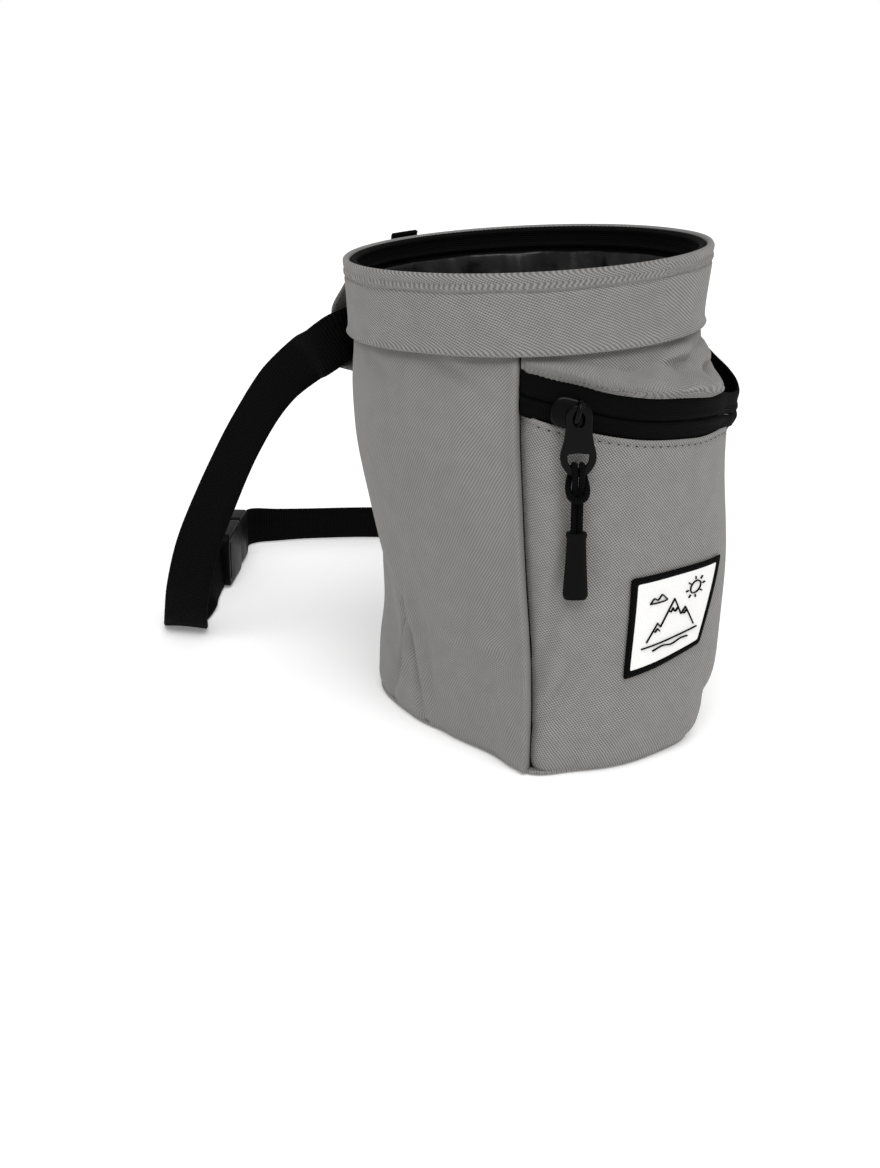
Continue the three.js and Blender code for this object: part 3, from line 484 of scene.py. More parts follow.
def between(tree, factor, dark, light):
    """A colour between two sRGB hex colours."""
    links = {"Factor": factor, 6: linear(dark), 7: linear(light)}
    return add_node(tree, "ShaderNodeMix", {"data_type": "RGBA"}, links)


def add_bump(tree, shader, height, strength, distance):
    links = {"Height": (height, 0), "Strength": strength, "Distance": distance}
    bump = add_node(tree, "ShaderNodeBump", links=links)
    tree.links.new(bump.outputs[0], shader.inputs["Normal"])


def start_material(name, roughness, sheen=0.0, specular=0.5):
    material = bpy.data.materials.new(name)
    material.use_nodes = True
    tree = material.node_tree
    shader = tree.nodes["Principled BSDF"]
    shader.inputs["Roughness"].default_value = roughness
    shader.inputs["Sheen Weight"].default_value = sheen
    shader.inputs["Sheen Roughness"].default_value = 0.5
    shader.inputs["Specular IOR Level"].default_value = specular
    return material, tree, shader


def thread_wave(tree, source, pitch, angle, wobble=None):
    """Parallel threads over the cloth's own coordinates: 0 in the gaps and 1 on the crests."""
    parts = add_node(tree, "ShaderNodeSeparateXYZ", links={0: source})
    turn = math.radians(angle)
    a = math_node(tree, "MULTIPLY", (parts, 0), math.cos(turn))
    b = math_node(tree, "MULTIPLY", (parts, 1), math.sin(turn))
    line = math_node(tree, "ADD", (a, 0), (b, 0))
    if wobble is not None:
        line = math_node(tree, "ADD", (line, 0), (wobble, 0))
    scaled = math_node(tree, "MULTIPLY", (line, 0), 2 * math.pi / (pitch * MM))
    wave = math_node(tree, "SINE", (scaled, 0))
    return math_node(tree, "MULTIPLY_ADD", (wave, 0), 0.5, 0.5)


def twill(name, dark, light, diagonal, contrast=1.0):
    """Polyester twill: diagonal ridges a millimetre apart crossed by finer threads, matt, with a soft bloom.
    Its grey has painted shade between the ridges and painted light on them.
    """
    material, tree, shader = start_material(name, 0.86, sheen=0.12, specular=0.25)
    coords = add_node(tree, "ShaderNodeTexCoord")
    uv = (coords, "UV")
    # The drift keeps the ridges from running dead straight, as on real cloth.
    drift = noise(tree, uv, 90.0, 2.0)
    wobble = math_node(tree, "MULTIPLY_ADD", (drift, 0), 0.0009, -0.00045)
    ridge = thread_wave(tree, uv, 0.95, diagonal, wobble)
    cross = thread_wave(tree, uv, 0.8, diagonal + 78, wobble)
    woven = math_node(tree, "MULTIPLY_ADD", (cross, 0), 0.6, 0.0)
    height = math_node(tree, "ADD", (ridge, 0), (woven, 0))
    # Patches where the ridges show more and less.
    patches = noise(tree, uv, 130.0, 3.0)
    strong = map_range(tree, (patches, 0), 0.3, 0.7, 0.8, 1.0)
    shown = math_node(tree, "MULTIPLY", (height, 0), (strong, 0))
    fibre = noise(tree, uv, 2600.0, 3.0)
    fuzzy = math_node(tree, "MULTIPLY_ADD", (fibre, 0), 0.5, (shown, 0))
    tone = map_range(tree, (fuzzy, 0), 0.15, 1.7)
    cloud = noise(tree, uv, 22.0, 3.0)
    # Painted shade and light: the cloth's grey turns darker between the ridges and lighter on their crests.
    colour = between(tree, (tone, 0), dark, light)
    shade = map_range(tree, (cloud, 0), 0.3, 0.7, 0.985, 1.015)
    tinted = add_node(tree, "ShaderNodeMix", {"data_type": "RGBA", "blend_type": "MULTIPLY"},
                      {"Factor": 1.0, 6: (colour, 2), 7: (shade, 0)})
    tree.links.new(tinted.outputs[2], shader.inputs["Base Color"])
    add_bump(tree, shader, fuzzy, 0.5 * contrast, 0.00022)
    return material


def ribbed_webbing(name, dark, light, pitch=1.3, across=0.95, strength=0.8):
    """Nylon webbing: cross ribs a little over a millimetre apart, split by warp threads along the strap."""
    material, tree, shader = start_material(name, 0.8, specular=0.05)
    coords = add_node(tree, "ShaderNodeTexCoord")
    ribs = thread_wave(tree, (coords, "UV"), pitch, 90)
    warp = thread_wave(tree, (coords, "UV"), across, 0)
    both = math_node(tree, "MULTIPLY_ADD", (warp, 0), 0.45, (ribs, 0))
    grain = noise(tree, (coords, "UV"), 1500.0, 2.0)
    height = math_node(tree, "MULTIPLY_ADD", (grain, 0), 0.3, (both, 0))
    tone = map_range(tree, (height, 0), 0.2, 1.6)
    colour = between(tree, (tone, 0), dark, light)
    tree.links.new(colour.outputs[2], shader.inputs["Base Color"])
    add_bump(tree, shader, height, strength, 0.0003)
    return material


def smooth_nylon(name, colour_hex, painted_sheen_hex, roughness=0.42):
    """Coated nylon lining: nearly smooth, half shiny, with a fine plain weave, small creases and a painted
    sheen, a lighter colour on the crease tops.
    """
    material, tree, shader = start_material(name, roughness, specular=0.3)
    coords = add_node(tree, "ShaderNodeTexCoord")
    crease = noise(tree, (coords, "Object"), 60.0, 5.0, 1.2)
    fine = noise(tree, (coords, "Object"), 1400.0, 2.0)
    height = math_node(tree, "MULTIPLY_ADD", (fine, 0), 0.06, (crease, 0))
    # Painted sheen: the colour turns lighter on the tops of the creases.
    sheen = map_range(tree, (crease, 0), 0.48, 0.62)
    tone = between(tree, (sheen, 0), colour_hex, painted_sheen_hex)
    tree.links.new(tone.outputs[2], shader.inputs["Base Color"])
    add_bump(tree, shader, height, 0.35, 0.0012)
    return material


def moulded_plastic(name, colour_hex, roughness, grain_size=0.5, strength=0.1, specular=0.08):
    """Moulded acetal: even black with a fine mould texture that breaks its gloss."""
    material, tree, shader = start_material(name, roughness, specular=specular)
    coords = add_node(tree, "ShaderNodeTexCoord")
    grain = noise(tree, (coords, "Object"), 1 / (grain_size * MM), 2.0)
    worn = noise(tree, (coords, "Object"), 140.0, 4.0)
    rough = map_range(tree, (worn, 0), 0.0, 1.0, roughness - 0.08, roughness + 0.1)
    colour = between(tree, (worn, 0), colour_hex, "#060607")
    tree.links.new(colour.outputs[2], shader.inputs["Base Color"])
    tree.links.new(rough.outputs[0], shader.inputs["Roughness"])
    add_bump(tree, shader, grain, strength, 0.0002)
    return material


def printed_cloth(name):
    """White polyester patch cloth: fine plain weave, slightly warm, matt."""
    material, tree, shader = start_material(name, 0.75, sheen=0.1, specular=0.25)
    coords = add_node(tree, "ShaderNodeTexCoord")
    warp = thread_wave(tree, (coords, "UV"), 0.6, 0)
    weft = thread_wave(tree, (coords, "UV"), 0.6, 90)
    height = math_node(tree, "ADD", (warp, 0), (weft, 0))
    tone = map_range(tree, (height, 0), 0.0, 2.0)
    colour = between(tree, (tone, 0), "#dedddb", "#f7f7f5")
    tree.links.new(colour.outputs[2], shader.inputs["Base Color"])
    add_bump(tree, shader, height, 0.3, 0.00012)
    return material


MATERIALS = {}


def finish(obj, material, body="bag", replaces=()):
    """Gives a piece its material, the body it rides on and the nodes it stands for."""
    obj.data.materials.clear()
    obj.data.materials.append(MATERIALS[material])
    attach(obj, body)
    if replaces:
        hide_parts(*replaces)
    return obj


# Sizes and colours --------------------------------------------------------------------------------


class ChalkBagSizes(bpy.types.PropertyGroup):
    around_steps: bpy.props.IntProperty(name="Steps round the bag",
                                        description="Columns of the cloth meshes", default=300, min=60)
    welt: bpy.props.FloatProperty(name="Seam welt",
                                  description="How far a seam's edge stands up, in millimetres", default=1.0)
    wrinkle: bpy.props.FloatProperty(name="Wrinkles",
                                     description="Height of the soft waves in the cloth, in millimetres",
                                     default=0.35)
    stitch: bpy.props.FloatProperty(name="Stitch length",
                                    description="Length of one stitch and its gap, in millimetres",
                                    default=3.3)


class ChalkBagColours(bpy.types.PropertyGroup):
    # Each cloth's two colours are its grey with painted shade between the ridges and painted light on them.
    cloth_groove_painted_shade: bpy.props.StringProperty(name="Front cloth, between ridges", description="sRGB hex",
                                         default="#4a4948")
    cloth_ridge_painted_light: bpy.props.StringProperty(name="Front cloth, on ridges", description="sRGB hex",
                                          default="#9e9c9a")
    side_groove_painted_shade: bpy.props.StringProperty(name="Side cloth, between ridges", description="sRGB hex",
                                        default="#5c5b5a")
    side_ridge_painted_light: bpy.props.StringProperty(name="Side cloth, on ridges", description="sRGB hex",
                                         default="#908e8c")


def sizes():
    return bpy.context.scene.chalk_bag_sizes


def colours():
    return bpy.context.scene.chalk_bag_colours


# Operators ----------------------------------------------------------------------------------------


class CHALKBAG_OT_materials(bpy.types.Operator):
    """Makes the cloth, webbing, nylon, plastic and patch materials"""
    bl_idname = "chalkbag.materials"
    bl_label = "Materials"

    def execute(self, context):
        dark, light = colours().cloth_groove_painted_shade, colours().cloth_ridge_painted_light
        MATERIALS["twill_side"] = twill("Polyester_twill_sides", colours().side_groove_painted_shade,
                                        colours().side_ridge_painted_light, -38, 0.8)
        MATERIALS["twill_front"] = twill("Polyester_twill_front", dark, light, 42, 1.5)
        MATERIALS["twill_collar"] = twill("Polyester_twill_collar", dark, light, 62, 1.6)
        MATERIALS["webbing"] = ribbed_webbing("Nylon_webbing_black", "#000000", "#090909")
        MATERIALS["zip_tape"] = ribbed_webbing("Woven_zip_tape_black", "#010101", "#0b0b0b", 0.7, 0.6, 0.5)
        # The nylon's lighter colour on its crease tops is a painted sheen.
        MATERIALS["nylon"] = smooth_nylon("Coated_nylon_black_painted_sheen", "#010101", "#161617", 0.34)
        MATERIALS["binding"] = ribbed_webbing("Grosgrain_binding_black", "#020202", "#0c0c0d", 0.8, 0.8, 0.5)
        MATERIALS["plastic"] = moulded_plastic("Moulded_acetal_black", "#010102", 0.42, specular=0.05)
        MATERIALS["slider"] = moulded_plastic("Painted_slider_black", "#010101", 0.2, 0.3, 0.03, 0.1)
        MATERIALS["rubber"] = moulded_plastic("Moulded_rubber_black", "#030303", 0.6, 0.35, 0.2)
        MATERIALS["cord"] = ribbed_webbing("Braided_cord_black", "#020203", "#0e0e0f", 0.9, 0.9, 0.9)
        MATERIALS["border"] = ribbed_webbing("Overlock_thread_black", "#020202", "#0d0d0e", 0.55, 4.0, 0.8)
        MATERIALS["white"] = printed_cloth("Patch_cloth_white")
        # The tunnel's twill is the side twill painted darker: painted shade for the shadow the bag casts on the
        # tunnel.
        MATERIALS["twill_tunnel_painted_shade"] = twill("Polyester_twill_tunnel_painted_shade", "#3a3938", "#6a6967", -38, 0.8)
        MATERIALS["ink"] = ribbed_webbing("Embroidery_thread_black", "#08080a", "#161618", 0.6, 3.0, 0.5)
        MATERIALS["thread"] = ribbed_webbing("Sewing_thread_grey", "#6f6e6c", "#a3a19f", 0.5, 2.0, 0.5)
        return {"FINISHED"}


class CHALKBAG_OT_body(bpy.types.Operator):
    """Makes the side and back panel and the base"""
    bl_idname = "chalkbag.body"
    bl_label = "Body panels"

    def execute(self, context):
        steps = int(sizes().around_steps * 0.75)
        rows = 120
        t = np.linspace(0, 1, rows)
        z = mix(WALL_BOTTOM - 1.2, WALL_TOP, t)[None, :]
        s = np.linspace(0, 1, steps)[:, None]
        start, end = seam_right(z) + 0.05, 360 + seam_left(z) - 0.05
        bearing = mix(start, end, s)
        to_left = (end - bearing) * ARC
        to_right = (bearing - start) * ARC
        welt = sizes().welt
        edge = lambda d: welt * (1.7 * bell(d, 2.0, 2.0) - 2.6 * bell(d, 0, 0.8))
        below_collar = np.clip((COLLAR_BOTTOM + 2 - z) / 4, 0, 1)
        out = (edge(to_left) + edge(to_right)) * below_collar
        low = np.clip(1 - (z - WALL_BOTTOM) / 5.0, 0, 1)
        out = out - 1.5 * low**2
        out = (out + ripple(bearing * ARC, z, 46.0, 4, sizes().wrinkle)
               * np.clip((COLLAR_BOTTOM - z) / 20, 0, 1))
        out = out + side_folds(wrap(bearing), z) * 1.5 - 1.5 * bell(z, COLLAR_BOTTOM - 0.4, 1.5)
        points = bag_point(bearing, z, out)
        panel = cloth_shell("side_back_cloth", points, CLOTH)
        finish(panel, "twill_side", replaces=["side_back_panel"])
        around = np.arange(240) * 1.5
        rings = [(-3.0, 0.0), (-1.6, 0.5), (-1.3, 1.2), (-1.6, 1.9)]
        vertices = np.concatenate([
            np.column_stack([bag_point(around, 0, inset)[:, :2], np.full(len(around), height)])
            for inset, height in rings
        ])
        faces = ring_faces(len(rings), len(around))
        base = new_object("base_cloth", vertices, faces, vertices[:, :2], smooth=False)
        finish(base, "twill_side", replaces=["base_panel"])
        return {"FINISHED"}


def side_folds(bearing, z):
    """Creases of the side panel: a V at the low back-left corner, and soft waves below the collar."""
    def crease(place, height, wide, tall, slant, deep):
        return deep * slanted_bell(wrap(bearing - place) * 1.1, z - height, wide, tall, slant)
    total = -crease(-123, 30, 2.2, 24, -24, 2.0) + crease(-119, 28, 2.8, 20, -20, 1.6)
    total = total - crease(-112, 28, 2.2, 24, 10, 1.7) + crease(-107.5, 28, 3.0, 22, 10, 0.9)
    total = total - crease(-64, 146, 2.4, 9, 62, 1.3) + crease(-58, 144, 3.0, 8, 62, 0.9)
    total = total - crease(-100, 147, 3.2, 9, 70, 0.7) - crease(-70, 150, 3.0, 12, 75, 0.6)
    total = total + crease(-60, 20, 4, 26, 10, 0.8) - crease(-56, 60, 3, 30, 4, 0.5)
    return total


class CHALKBAG_OT_collar(bpy.types.Operator):
    """Makes the folded collar with its hem rows"""
    bl_idname = "chalkbag.collar"
    bl_label = "Collar"

    def execute(self, context):
        thick = COLLAR_THICK
        low, high = COLLAR_BOTTOM, BAG_HEIGHT
        loop = [(GAP + 0.1, low + 0.4), (GAP + thick * 0.6, low - 0.1), (GAP + thick + 0.1, low),
                (GAP + thick + 0.35, low + 0.5)]
        for z in np.linspace(low + 2.0, high - 2.4, 40):
            loop.append((GAP + thick * 0.85, z))
        middle, half = (GAP + thick * 0.85 + LIP_INSIDE) / 2, (GAP + thick * 0.85 - LIP_INSIDE) / 2
        for a in np.linspace(0, math.pi, 12):
            loop.append((middle + half * math.cos(a), high - 1.3 + 1.3 * math.sin(a)))
        loop += [(LIP_INSIDE, high - 2.2), (GAP + 0.05, high - 2.35)]
        for z in np.linspace(high - 6, low + 6, 6):
            loop.append((GAP + 0.05, z))

        def shape(b, o, z):
            outside = (o > GAP + 0.5) & (z < high - 1.0)
            arc = b * 1.18
            wander = 0.25 * np.sin(b * 0.21) + 0.2 * np.sin(b * 0.083 + 1)
            rows = -0.75 * bell(z, high - 6.8 + wander, 0.5)
            rows = rows - 0.4 * bell(z, high - 3.6 + wander, 0.4)
            pucker = 0.22 * np.sin(2 * math.pi * arc / 3.4 + np.sin(arc * 0.3)) * bell(z, high - 5.6, 1.6)
            swell = 0.25 * bell(z, low + 1, 2.2) + ripple(arc, z, 60.0, 8, 0.3)
            return o + np.where(outside, rows + pucker + swell, 0), z
        collar = profile_band("collar_cloth", sizes().around_steps + 60, loop, shape)
        finish(collar, "twill_collar", replaces=["rim_collar"])
        return {"FINISHED"}


class CHALKBAG_OT_inside(bpy.types.Operator):
    """Makes the black binding, the lining and the gathered nylon inside the mouth"""
    bl_idname = "chalkbag.inside"
    bl_label = "Inside"

    def execute(self, context):
        steps = 240
        face = -CLOTH - GAP
        low = WALL_TOP - FACING_TALL
        loop = [(face - 0.1, low), (face - 0.1, WALL_TOP + 0.1), (LIP_INSIDE - 0.3, WALL_TOP + 0.6),
                (LIP_INSIDE - 0.3, BAG_HEIGHT - 1.1), (LIP_INSIDE - 0.9, BAG_HEIGHT - 0.6),
                (face - 0.3, BAG_HEIGHT - 0.8)]
        for z in np.linspace(BAG_HEIGHT - 1.6, low, 46):
            roll = 0.75 * bell(z, WALL_TOP - 5.2, 0.8) - 0.4 * bell(z, WALL_TOP - 7, 0.6)
            loop.append((face - LINING - roll - 0.5 * bell(z, BAG_HEIGHT - 2, 1.1), z))
        facing = profile_band("facing_binding", steps, loop)
        finish(facing, "binding", replaces=["rim_facing"])
        lining = lining_cup(face)
        finish(lining, "nylon", replaces=["lining"])
        fine = 520
        bearing = (np.arange(fine) * 360.0 / fine)[:, None]
        t = np.linspace(0, 1, 34)[None, :]
        top = WALL_TOP - SKIRT_DROP + 1.5
        turns = bearing / 360.0
        wave = np.sin(2 * math.pi * (SKIRT_FOLDS * turns + 0.25 * np.sin(2 * math.pi * 3 * turns)))
        wave = wave + 0.5 * np.sin(2 * math.pi
                                   * (SKIRT_FOLDS * 1.9 * turns + 0.3 * np.sin(9 * math.pi * turns)) + 3 * t)
        small = 0.25 * np.sin(2 * math.pi * 71 * turns + 4 * t) * np.exp(-t * 3)
        hang = 1.6 + 3.6 * t**0.7 + (0.35 + 2.0 * t**0.8) * (wave + small) * 0.9
        z = top - (SKIRT_TALL - 4) * t + 2.0 * t * np.sin(2 * math.pi * 5 * turns)
        points = bag_point(bearing, z, face - LINING - np.maximum(hang, 0.5))
        skirt = cloth_shell("closure_nylon", points, 0.4, closed=True)
        finish(skirt, "nylon", replaces=["closure_skirt"])
        return {"FINISHED"}


def lining_cup(face):
    """The inner bag: a thin black cup with a floor, a little slack."""
    steps, rows = 180, 60
    bearing = (np.arange(steps) * 360.0 / steps)[:, None]
    top = WALL_TOP - FACING_TALL - GAP
    z = np.linspace(WALL_BOTTOM + 0.3, top, rows)[None, :]
    slack = 1.6 * np.clip((top - z) / 12, 0, 1)
    wave = ripple(bearing * ARC, z, 34.0, 11, 1.0) * np.clip((top - z) / 30, 0, 1)
    points = bag_point(bearing, z, face - slack - 0.8 - np.maximum(0, wave + 0.6))
    vertices = [points.reshape(-1, 3)]
    faces = [tuple(reversed(f)) for f in grid_faces(steps, rows, True)]
    bottom = points[:, 0]
    offset = steps * rows
    previous = [i * rows for i in range(steps)]
    for share in (0.85, 0.6, 0.3):
        ring = bottom * [share, share, 1]
        vertices.append(ring)
        current = [offset + i for i in range(steps)]
        for i in range(steps):
            n = (i + 1) % steps
            faces.append((previous[i], previous[n], current[n], current[i]))
        offset += steps
        previous = current
    vertices.append(np.array([[0, 0, WALL_BOTTOM + 0.3]]))
    for i in range(steps):
        faces.append((previous[i], previous[(i + 1) % steps], offset))
    obj = new_object("lining_cloth", np.concatenate(vertices), faces)
    apply_modifier(obj, "SOLIDIFY", thickness=0.5 * MM, offset=-1.0)
    return obj


def low_share(z):
    """1 on the upper pocket beside the seam, and 0 at its foot."""
    return smooth_step(40, 70, z)


def pocket_detail(along, z):
    """The pocket cloth's relief: zip edge, stitch line, seam dips, folds and the dent under the pull."""
    span = 1.15 * (seam_right(z) - seam_left(z))
    from_left = along * span
    from_right = (1 - along) * span
    from_zip = zip_height(along) - tape_below(along) - GAP - z
    out = -1.5 * bell(from_left, 0, 1.2) - 1.3 * bell(from_right, 0, 1.6)
    out = out - 2.4 * bell(from_left, 0, 4.2) + 0.9 * bell(from_left, 10, 3.6) * low_share(z)
    out = out + 0.6 * bell(from_zip, 1.0, 1.0) - 0.45 * bell(from_zip, 2.5, 0.55)
    out = out + 0.12 * np.sin(2 * math.pi * from_left / 3.3) * bell(from_zip, 2.6, 1.6)

    def fold(place, height, wide, tall, slant, deep):
        return deep * slanted_bell((along - place) * POCKET_SPAN, z - height, wide, tall, slant)
    out = out - fold(0.07, 62, 2.6, 26, -14, 1.9) + fold(0.12, 62, 3.0, 26, -14, 1.2)
    out = out - fold(0.09, 34, 2.4, 18, -32, 1.9) + fold(0.14, 36, 3.4, 18, -32, 1.4)
    out = out - fold(0.16, 92, 4.0, 20, 6, 1.5)
    out = out + fold(0.30, 26, 8, 16, -30, 1.4) - fold(0.24, 22, 3.2, 16, -36, 1.3)
    out = out - fold(0.72, 18, 5, 14, 40, 1.4) + fold(0.55, 14, 9, 8, 70, 1.0)
    out = out - fold(0.93, 80, 3, 40, 0, 1.2)
    return out + ripple(along * POCKET_SPAN, z, 52.0, 21, sizes().wrinkle * 1.4)


class CHALKBAG_OT_front(bpy.types.Operator):
    """Makes the pocket, the cloth above the zip and both zip tapes"""
    bl_idname = "chalkbag.front"
    bl_label = "Front and pocket"

    def execute(self, context):
        s = np.linspace(0, 1, 220)[:, None]
        t = np.linspace(0, 1, 160)[None, :]
        z = mix(WALL_BOTTOM - 1.2, zip_height(s) - tape_below(s) - GAP, t)
        low = np.clip(1 - (z - WALL_BOTTOM) / 5.0, 0, 1)
        out = pocket_detail(s, z) - 1.8 * low**2
        pocket = cloth_shell("pocket_cloth", front_point(s, z, out), CLOTH)
        finish(pocket, "twill_front", replaces=["pocket_panel"])

        s = np.linspace(0, 1, 440)[:, None]
        t = np.linspace(0, 1, 80)[None, :] ** 1.1
        z = mix(zip_height(s) + tape_above(s) - 0.6, WALL_TOP, t)
        above = z - (zip_height(s) + tape_above(s))
        span = s * POCKET_SPAN
        swell = smooth_step(0.05, 0.3, s) * (1 - smooth_step(0.72, 0.95, s))
        roll = (2.0 + 1.6 * swell) * bell(above, 3.0, 2.8) - 0.9 * bell(above, -0.6, 1.2)
        roll = roll - 4.6 * swell * np.exp(-(((above - 10.0 + 5 * (s - 0.5)) / 3.6) ** 2))
        pucker = 0.3 * np.sin(2 * math.pi * span / 1.7 + 1.5 * np.sin(span * 0.35)) * bell(above, 1.6, 2.4)
        free = np.clip((COLLAR_BOTTOM - z) / 6, 0, 1)
        lines = humps(span - above * 1.9,
                      [(26, 4, -2.2), (36, 5, 1.9), (50, 4, -2.4), (62, 5, 1.8), (76, 4, -2.0)])
        soft = (lines * np.clip((above - 2) / 5, 0, 1) + ripple(span, z * 1.6, 26.0, 33, 0.4)) * free
        edge = -1.2 * bell(span, 0, 1.6) - 1.2 * bell(POCKET_SPAN, span, 1.6)
        edge = edge * np.clip((COLLAR_BOTTOM + 2 - z) / 4, 0, 1)
        tuck = -6.2 * smooth_step(0.64, 0.84, s) * bell(above, 0, 24.0) * (1 - 0.6 * smooth_step(0.95, 1, s))
        crease = -1.5 * bell(z, COLLAR_BOTTOM - 0.4, 1.5)
        out = np.maximum(roll + (pucker + soft) * free + tuck, -0.85 * bulge(s, z)) + edge + crease
        upper = cloth_shell("upper_front_cloth", front_point(s, z, out), CLOTH)
        finish(upper, "twill_front", replaces=["upper_front_panel"])

        s = np.linspace(0, 1, 220)[:, None]
        for name, node, near, far in (
            ("zip_tape_above", "zip_tape_upper", 0.02,
             tape_above(s) + 0.8 + 1.5 * smooth_step(0.86, 0.95, s)),
            ("zip_tape_below", "zip_tape_lower", -0.02, -tape_below(s) - 0.8),
        ):
            dz = mix(near, far, np.linspace(0, 1, 18)[None, :])
            groove = -0.7 * bell(dz, 0, 0.5) + 0.55 * np.exp(-(((np.abs(dz) - 1.7) / 1.1) ** 2))
            tuck = -0.9 * np.exp(-((dz - far) ** 2))
            curl = 3.2 * smooth_step(0.76, 0.9, s)
            tape = front_point(s, zip_height(s) + dz, groove + tuck - 0.1 + curl)
            if far[0, 0] < 0:
                tape = tape[:, ::-1]
            obj = cloth_shell(name, tape, 1.0)
            finish(obj, "zip_tape", replaces=[node])
        return {"FINISHED"}


class CHALKBAG_OT_stitches(bpy.types.Operator):
    """Sews the stitch rows below the zip, with black dots of painted shade at the needle holes"""
    bl_idname = "chalkbag.stitches"
    bl_label = "Stitches"

    def execute(self, context):
        pitch = sizes().stitch
        count = int(POCKET_SPAN / pitch)
        pieces, holes = [], []
        for k in range(1, count - 1):
            a = (k + 0.18) / count
            b = (k + 0.8) / count
            along = np.linspace(a, b, 5)
            z = zip_height(along) - tape_below(along) - GAP - 2.5
            arch = np.sin(np.linspace(0, math.pi, 5))
            path = front_point(along, z, pocket_detail(along, z) - 0.2 + 0.45 * arch)
            pieces.append(tube("stitch", path, 0.26, sides=5))
            # Painted shade: short black tubes at the stitch ends stand for the shade in the needle holes.
            along = np.linspace(b + 0.05 / count, b + 0.25 / count, 3)
            z = zip_height(along) - tape_below(along) - GAP - 2.5
            holes.append(tube("hole", front_point(along, z, pocket_detail(along, z) - 0.02), 0.28, sides=6))
        finish(join("zip_stitch_row", pieces), "thread")
        finish(join("zip_stitch_painted_hole_shade", holes), "binding")
        return {"FINISHED"}


# Belt stations: side, back, up, lean, face.
BELT_LEFT_RUN = [
    (-0.35, 0.342, 0.911, 22, -60),
    (-0.342, 0.381, 0.88, 50, -70),
    (-0.389, 0.429, 0.801, 86, -75),
    (-0.455, 0.474, 0.661, 110, -72),
    (-0.517, 0.517, 0.486, 114, -66),
    (-0.559, 0.558, 0.312, 107, -60),
    (-0.559, 0.595, 0.157, 98, -58),
    (-0.529, 0.627, 0.052, 92, -58),
    (-0.485, 0.659, 0.007, 91, -58),
    (-0.44, 0.69, 0.009, 90, -58),
    (-0.375, 0.712, 0.029, 74, -52),
    (-0.29, 0.735, 0.063, 32, -46),
    (-0.2, 0.765, 0.068, 4, -46),
    (-0.12, 0.795, 0.069, 0, -46),
]
BELT_RIGHT_RUN = [
    (0.2, 0.94, 0.069, 0, -46),
    (0.26, 0.965, 0.069, 0, -46),
    (0.3, 0.98, 0.069, 0, -46),
    (0.345, 0.98, 0.068, -6, 222),
    (0.42, 0.96, 0.066, -16, 222),
    (0.54, 0.925, 0.065, -22, 222),
    (0.77, 0.84, 0.065, -22, 222),
    (0.91, 0.755, 0.066, -16, 222),
    (0.98, 0.66, 0.081, 0, 222),
    (0.97, 0.565, 0.177, 24, 222),
    (0.87, 0.475, 0.393, 50, 222),
    (0.66, 0.4, 0.688, 46, 222),
    (0.42, 0.355, 0.885, 24, 222),
]


def tunnel_out(bearing):
    return mix(TUNNEL_OUT, TUNNEL_END_OUT, ((bearing - 180) / TUNNEL_HALF) ** 2)


def tunnel_sag(bearing):
    return TUNNEL_SAG * ((bearing - 180) / TUNNEL_HALF) ** 2


def belt_station(row):
    side, back, up, lean, face = row
    lean, face = math.radians(lean), math.radians(face)
    at = np.array([side * BELT_SIDE, back * BELT_BACK, up * BELT_UP])
    width = np.array([math.cos(face) * math.sin(lean), math.sin(face) * math.sin(lean), -math.cos(lean)])
    return at, width


def belt_in_tunnel(start, end):
    rows = []
    for i in range(6):
        bearing = mix(start, end, i / 5)
        out = tunnel_out(bearing) - TUNNEL_WALL - BELT_THICK / 2 - BELT_SLACK
        rows.append((bag_point(bearing, BELT_UP - tunnel_sag(bearing), out), np.array([0.0, 0.0, -1.0])))
    return rows


def centripetal(points, count):
    """An open centripetal curve through points, read at even steps of its parameter."""
    points = np.asarray(points, float)
    first = points[0] * 2 - points[1]
    last = points[-1] * 2 - points[-2]
    padded = np.vstack([first, points, last])
    result = []
    for k in range(count + 1):
        place = (len(points) - 1) * k / count
        i = min(int(place), len(points) - 2)
        t = place - i
        p0, p1, p2, p3 = padded[i:i + 4]
        knots = [np.sum((b - a) ** 2) ** 0.25 for a, b in ((p0, p1), (p1, p2), (p2, p3))]
        d0, d1, d2 = [max(k, 1e-4) for k in knots]
        t1 = ((p1 - p0) / d0 - (p2 - p0) / (d0 + d1) + (p2 - p1) / d1) * d1
        t2 = ((p2 - p1) / d1 - (p3 - p1) / (d1 + d2) + (p3 - p2) / d2) * d1
        result.append((2 * t**3 - 3 * t**2 + 1) * p1 + (t**3 - 2 * t**2 + t) * t1
                      + (3 * t**2 - 2 * t**3) * p2 + (t**3 - t**2) * t2)
    return np.array(result)


def soften(values, reach):
    """Evens out a row of vectors over a few neighbours, with its ends held."""
    weights = np.exp(-((np.arange(-3 * reach, 3 * reach + 1) / reach) ** 2) / 2)
    padded = np.concatenate([np.repeat(values[:1], 3 * reach, axis=0), values,
                             np.repeat(values[-1:], 3 * reach, axis=0)])
    weights = weights / weights.sum()
    return np.stack([np.convolve(column, weights, mode="valid") for column in padded.T], -1)


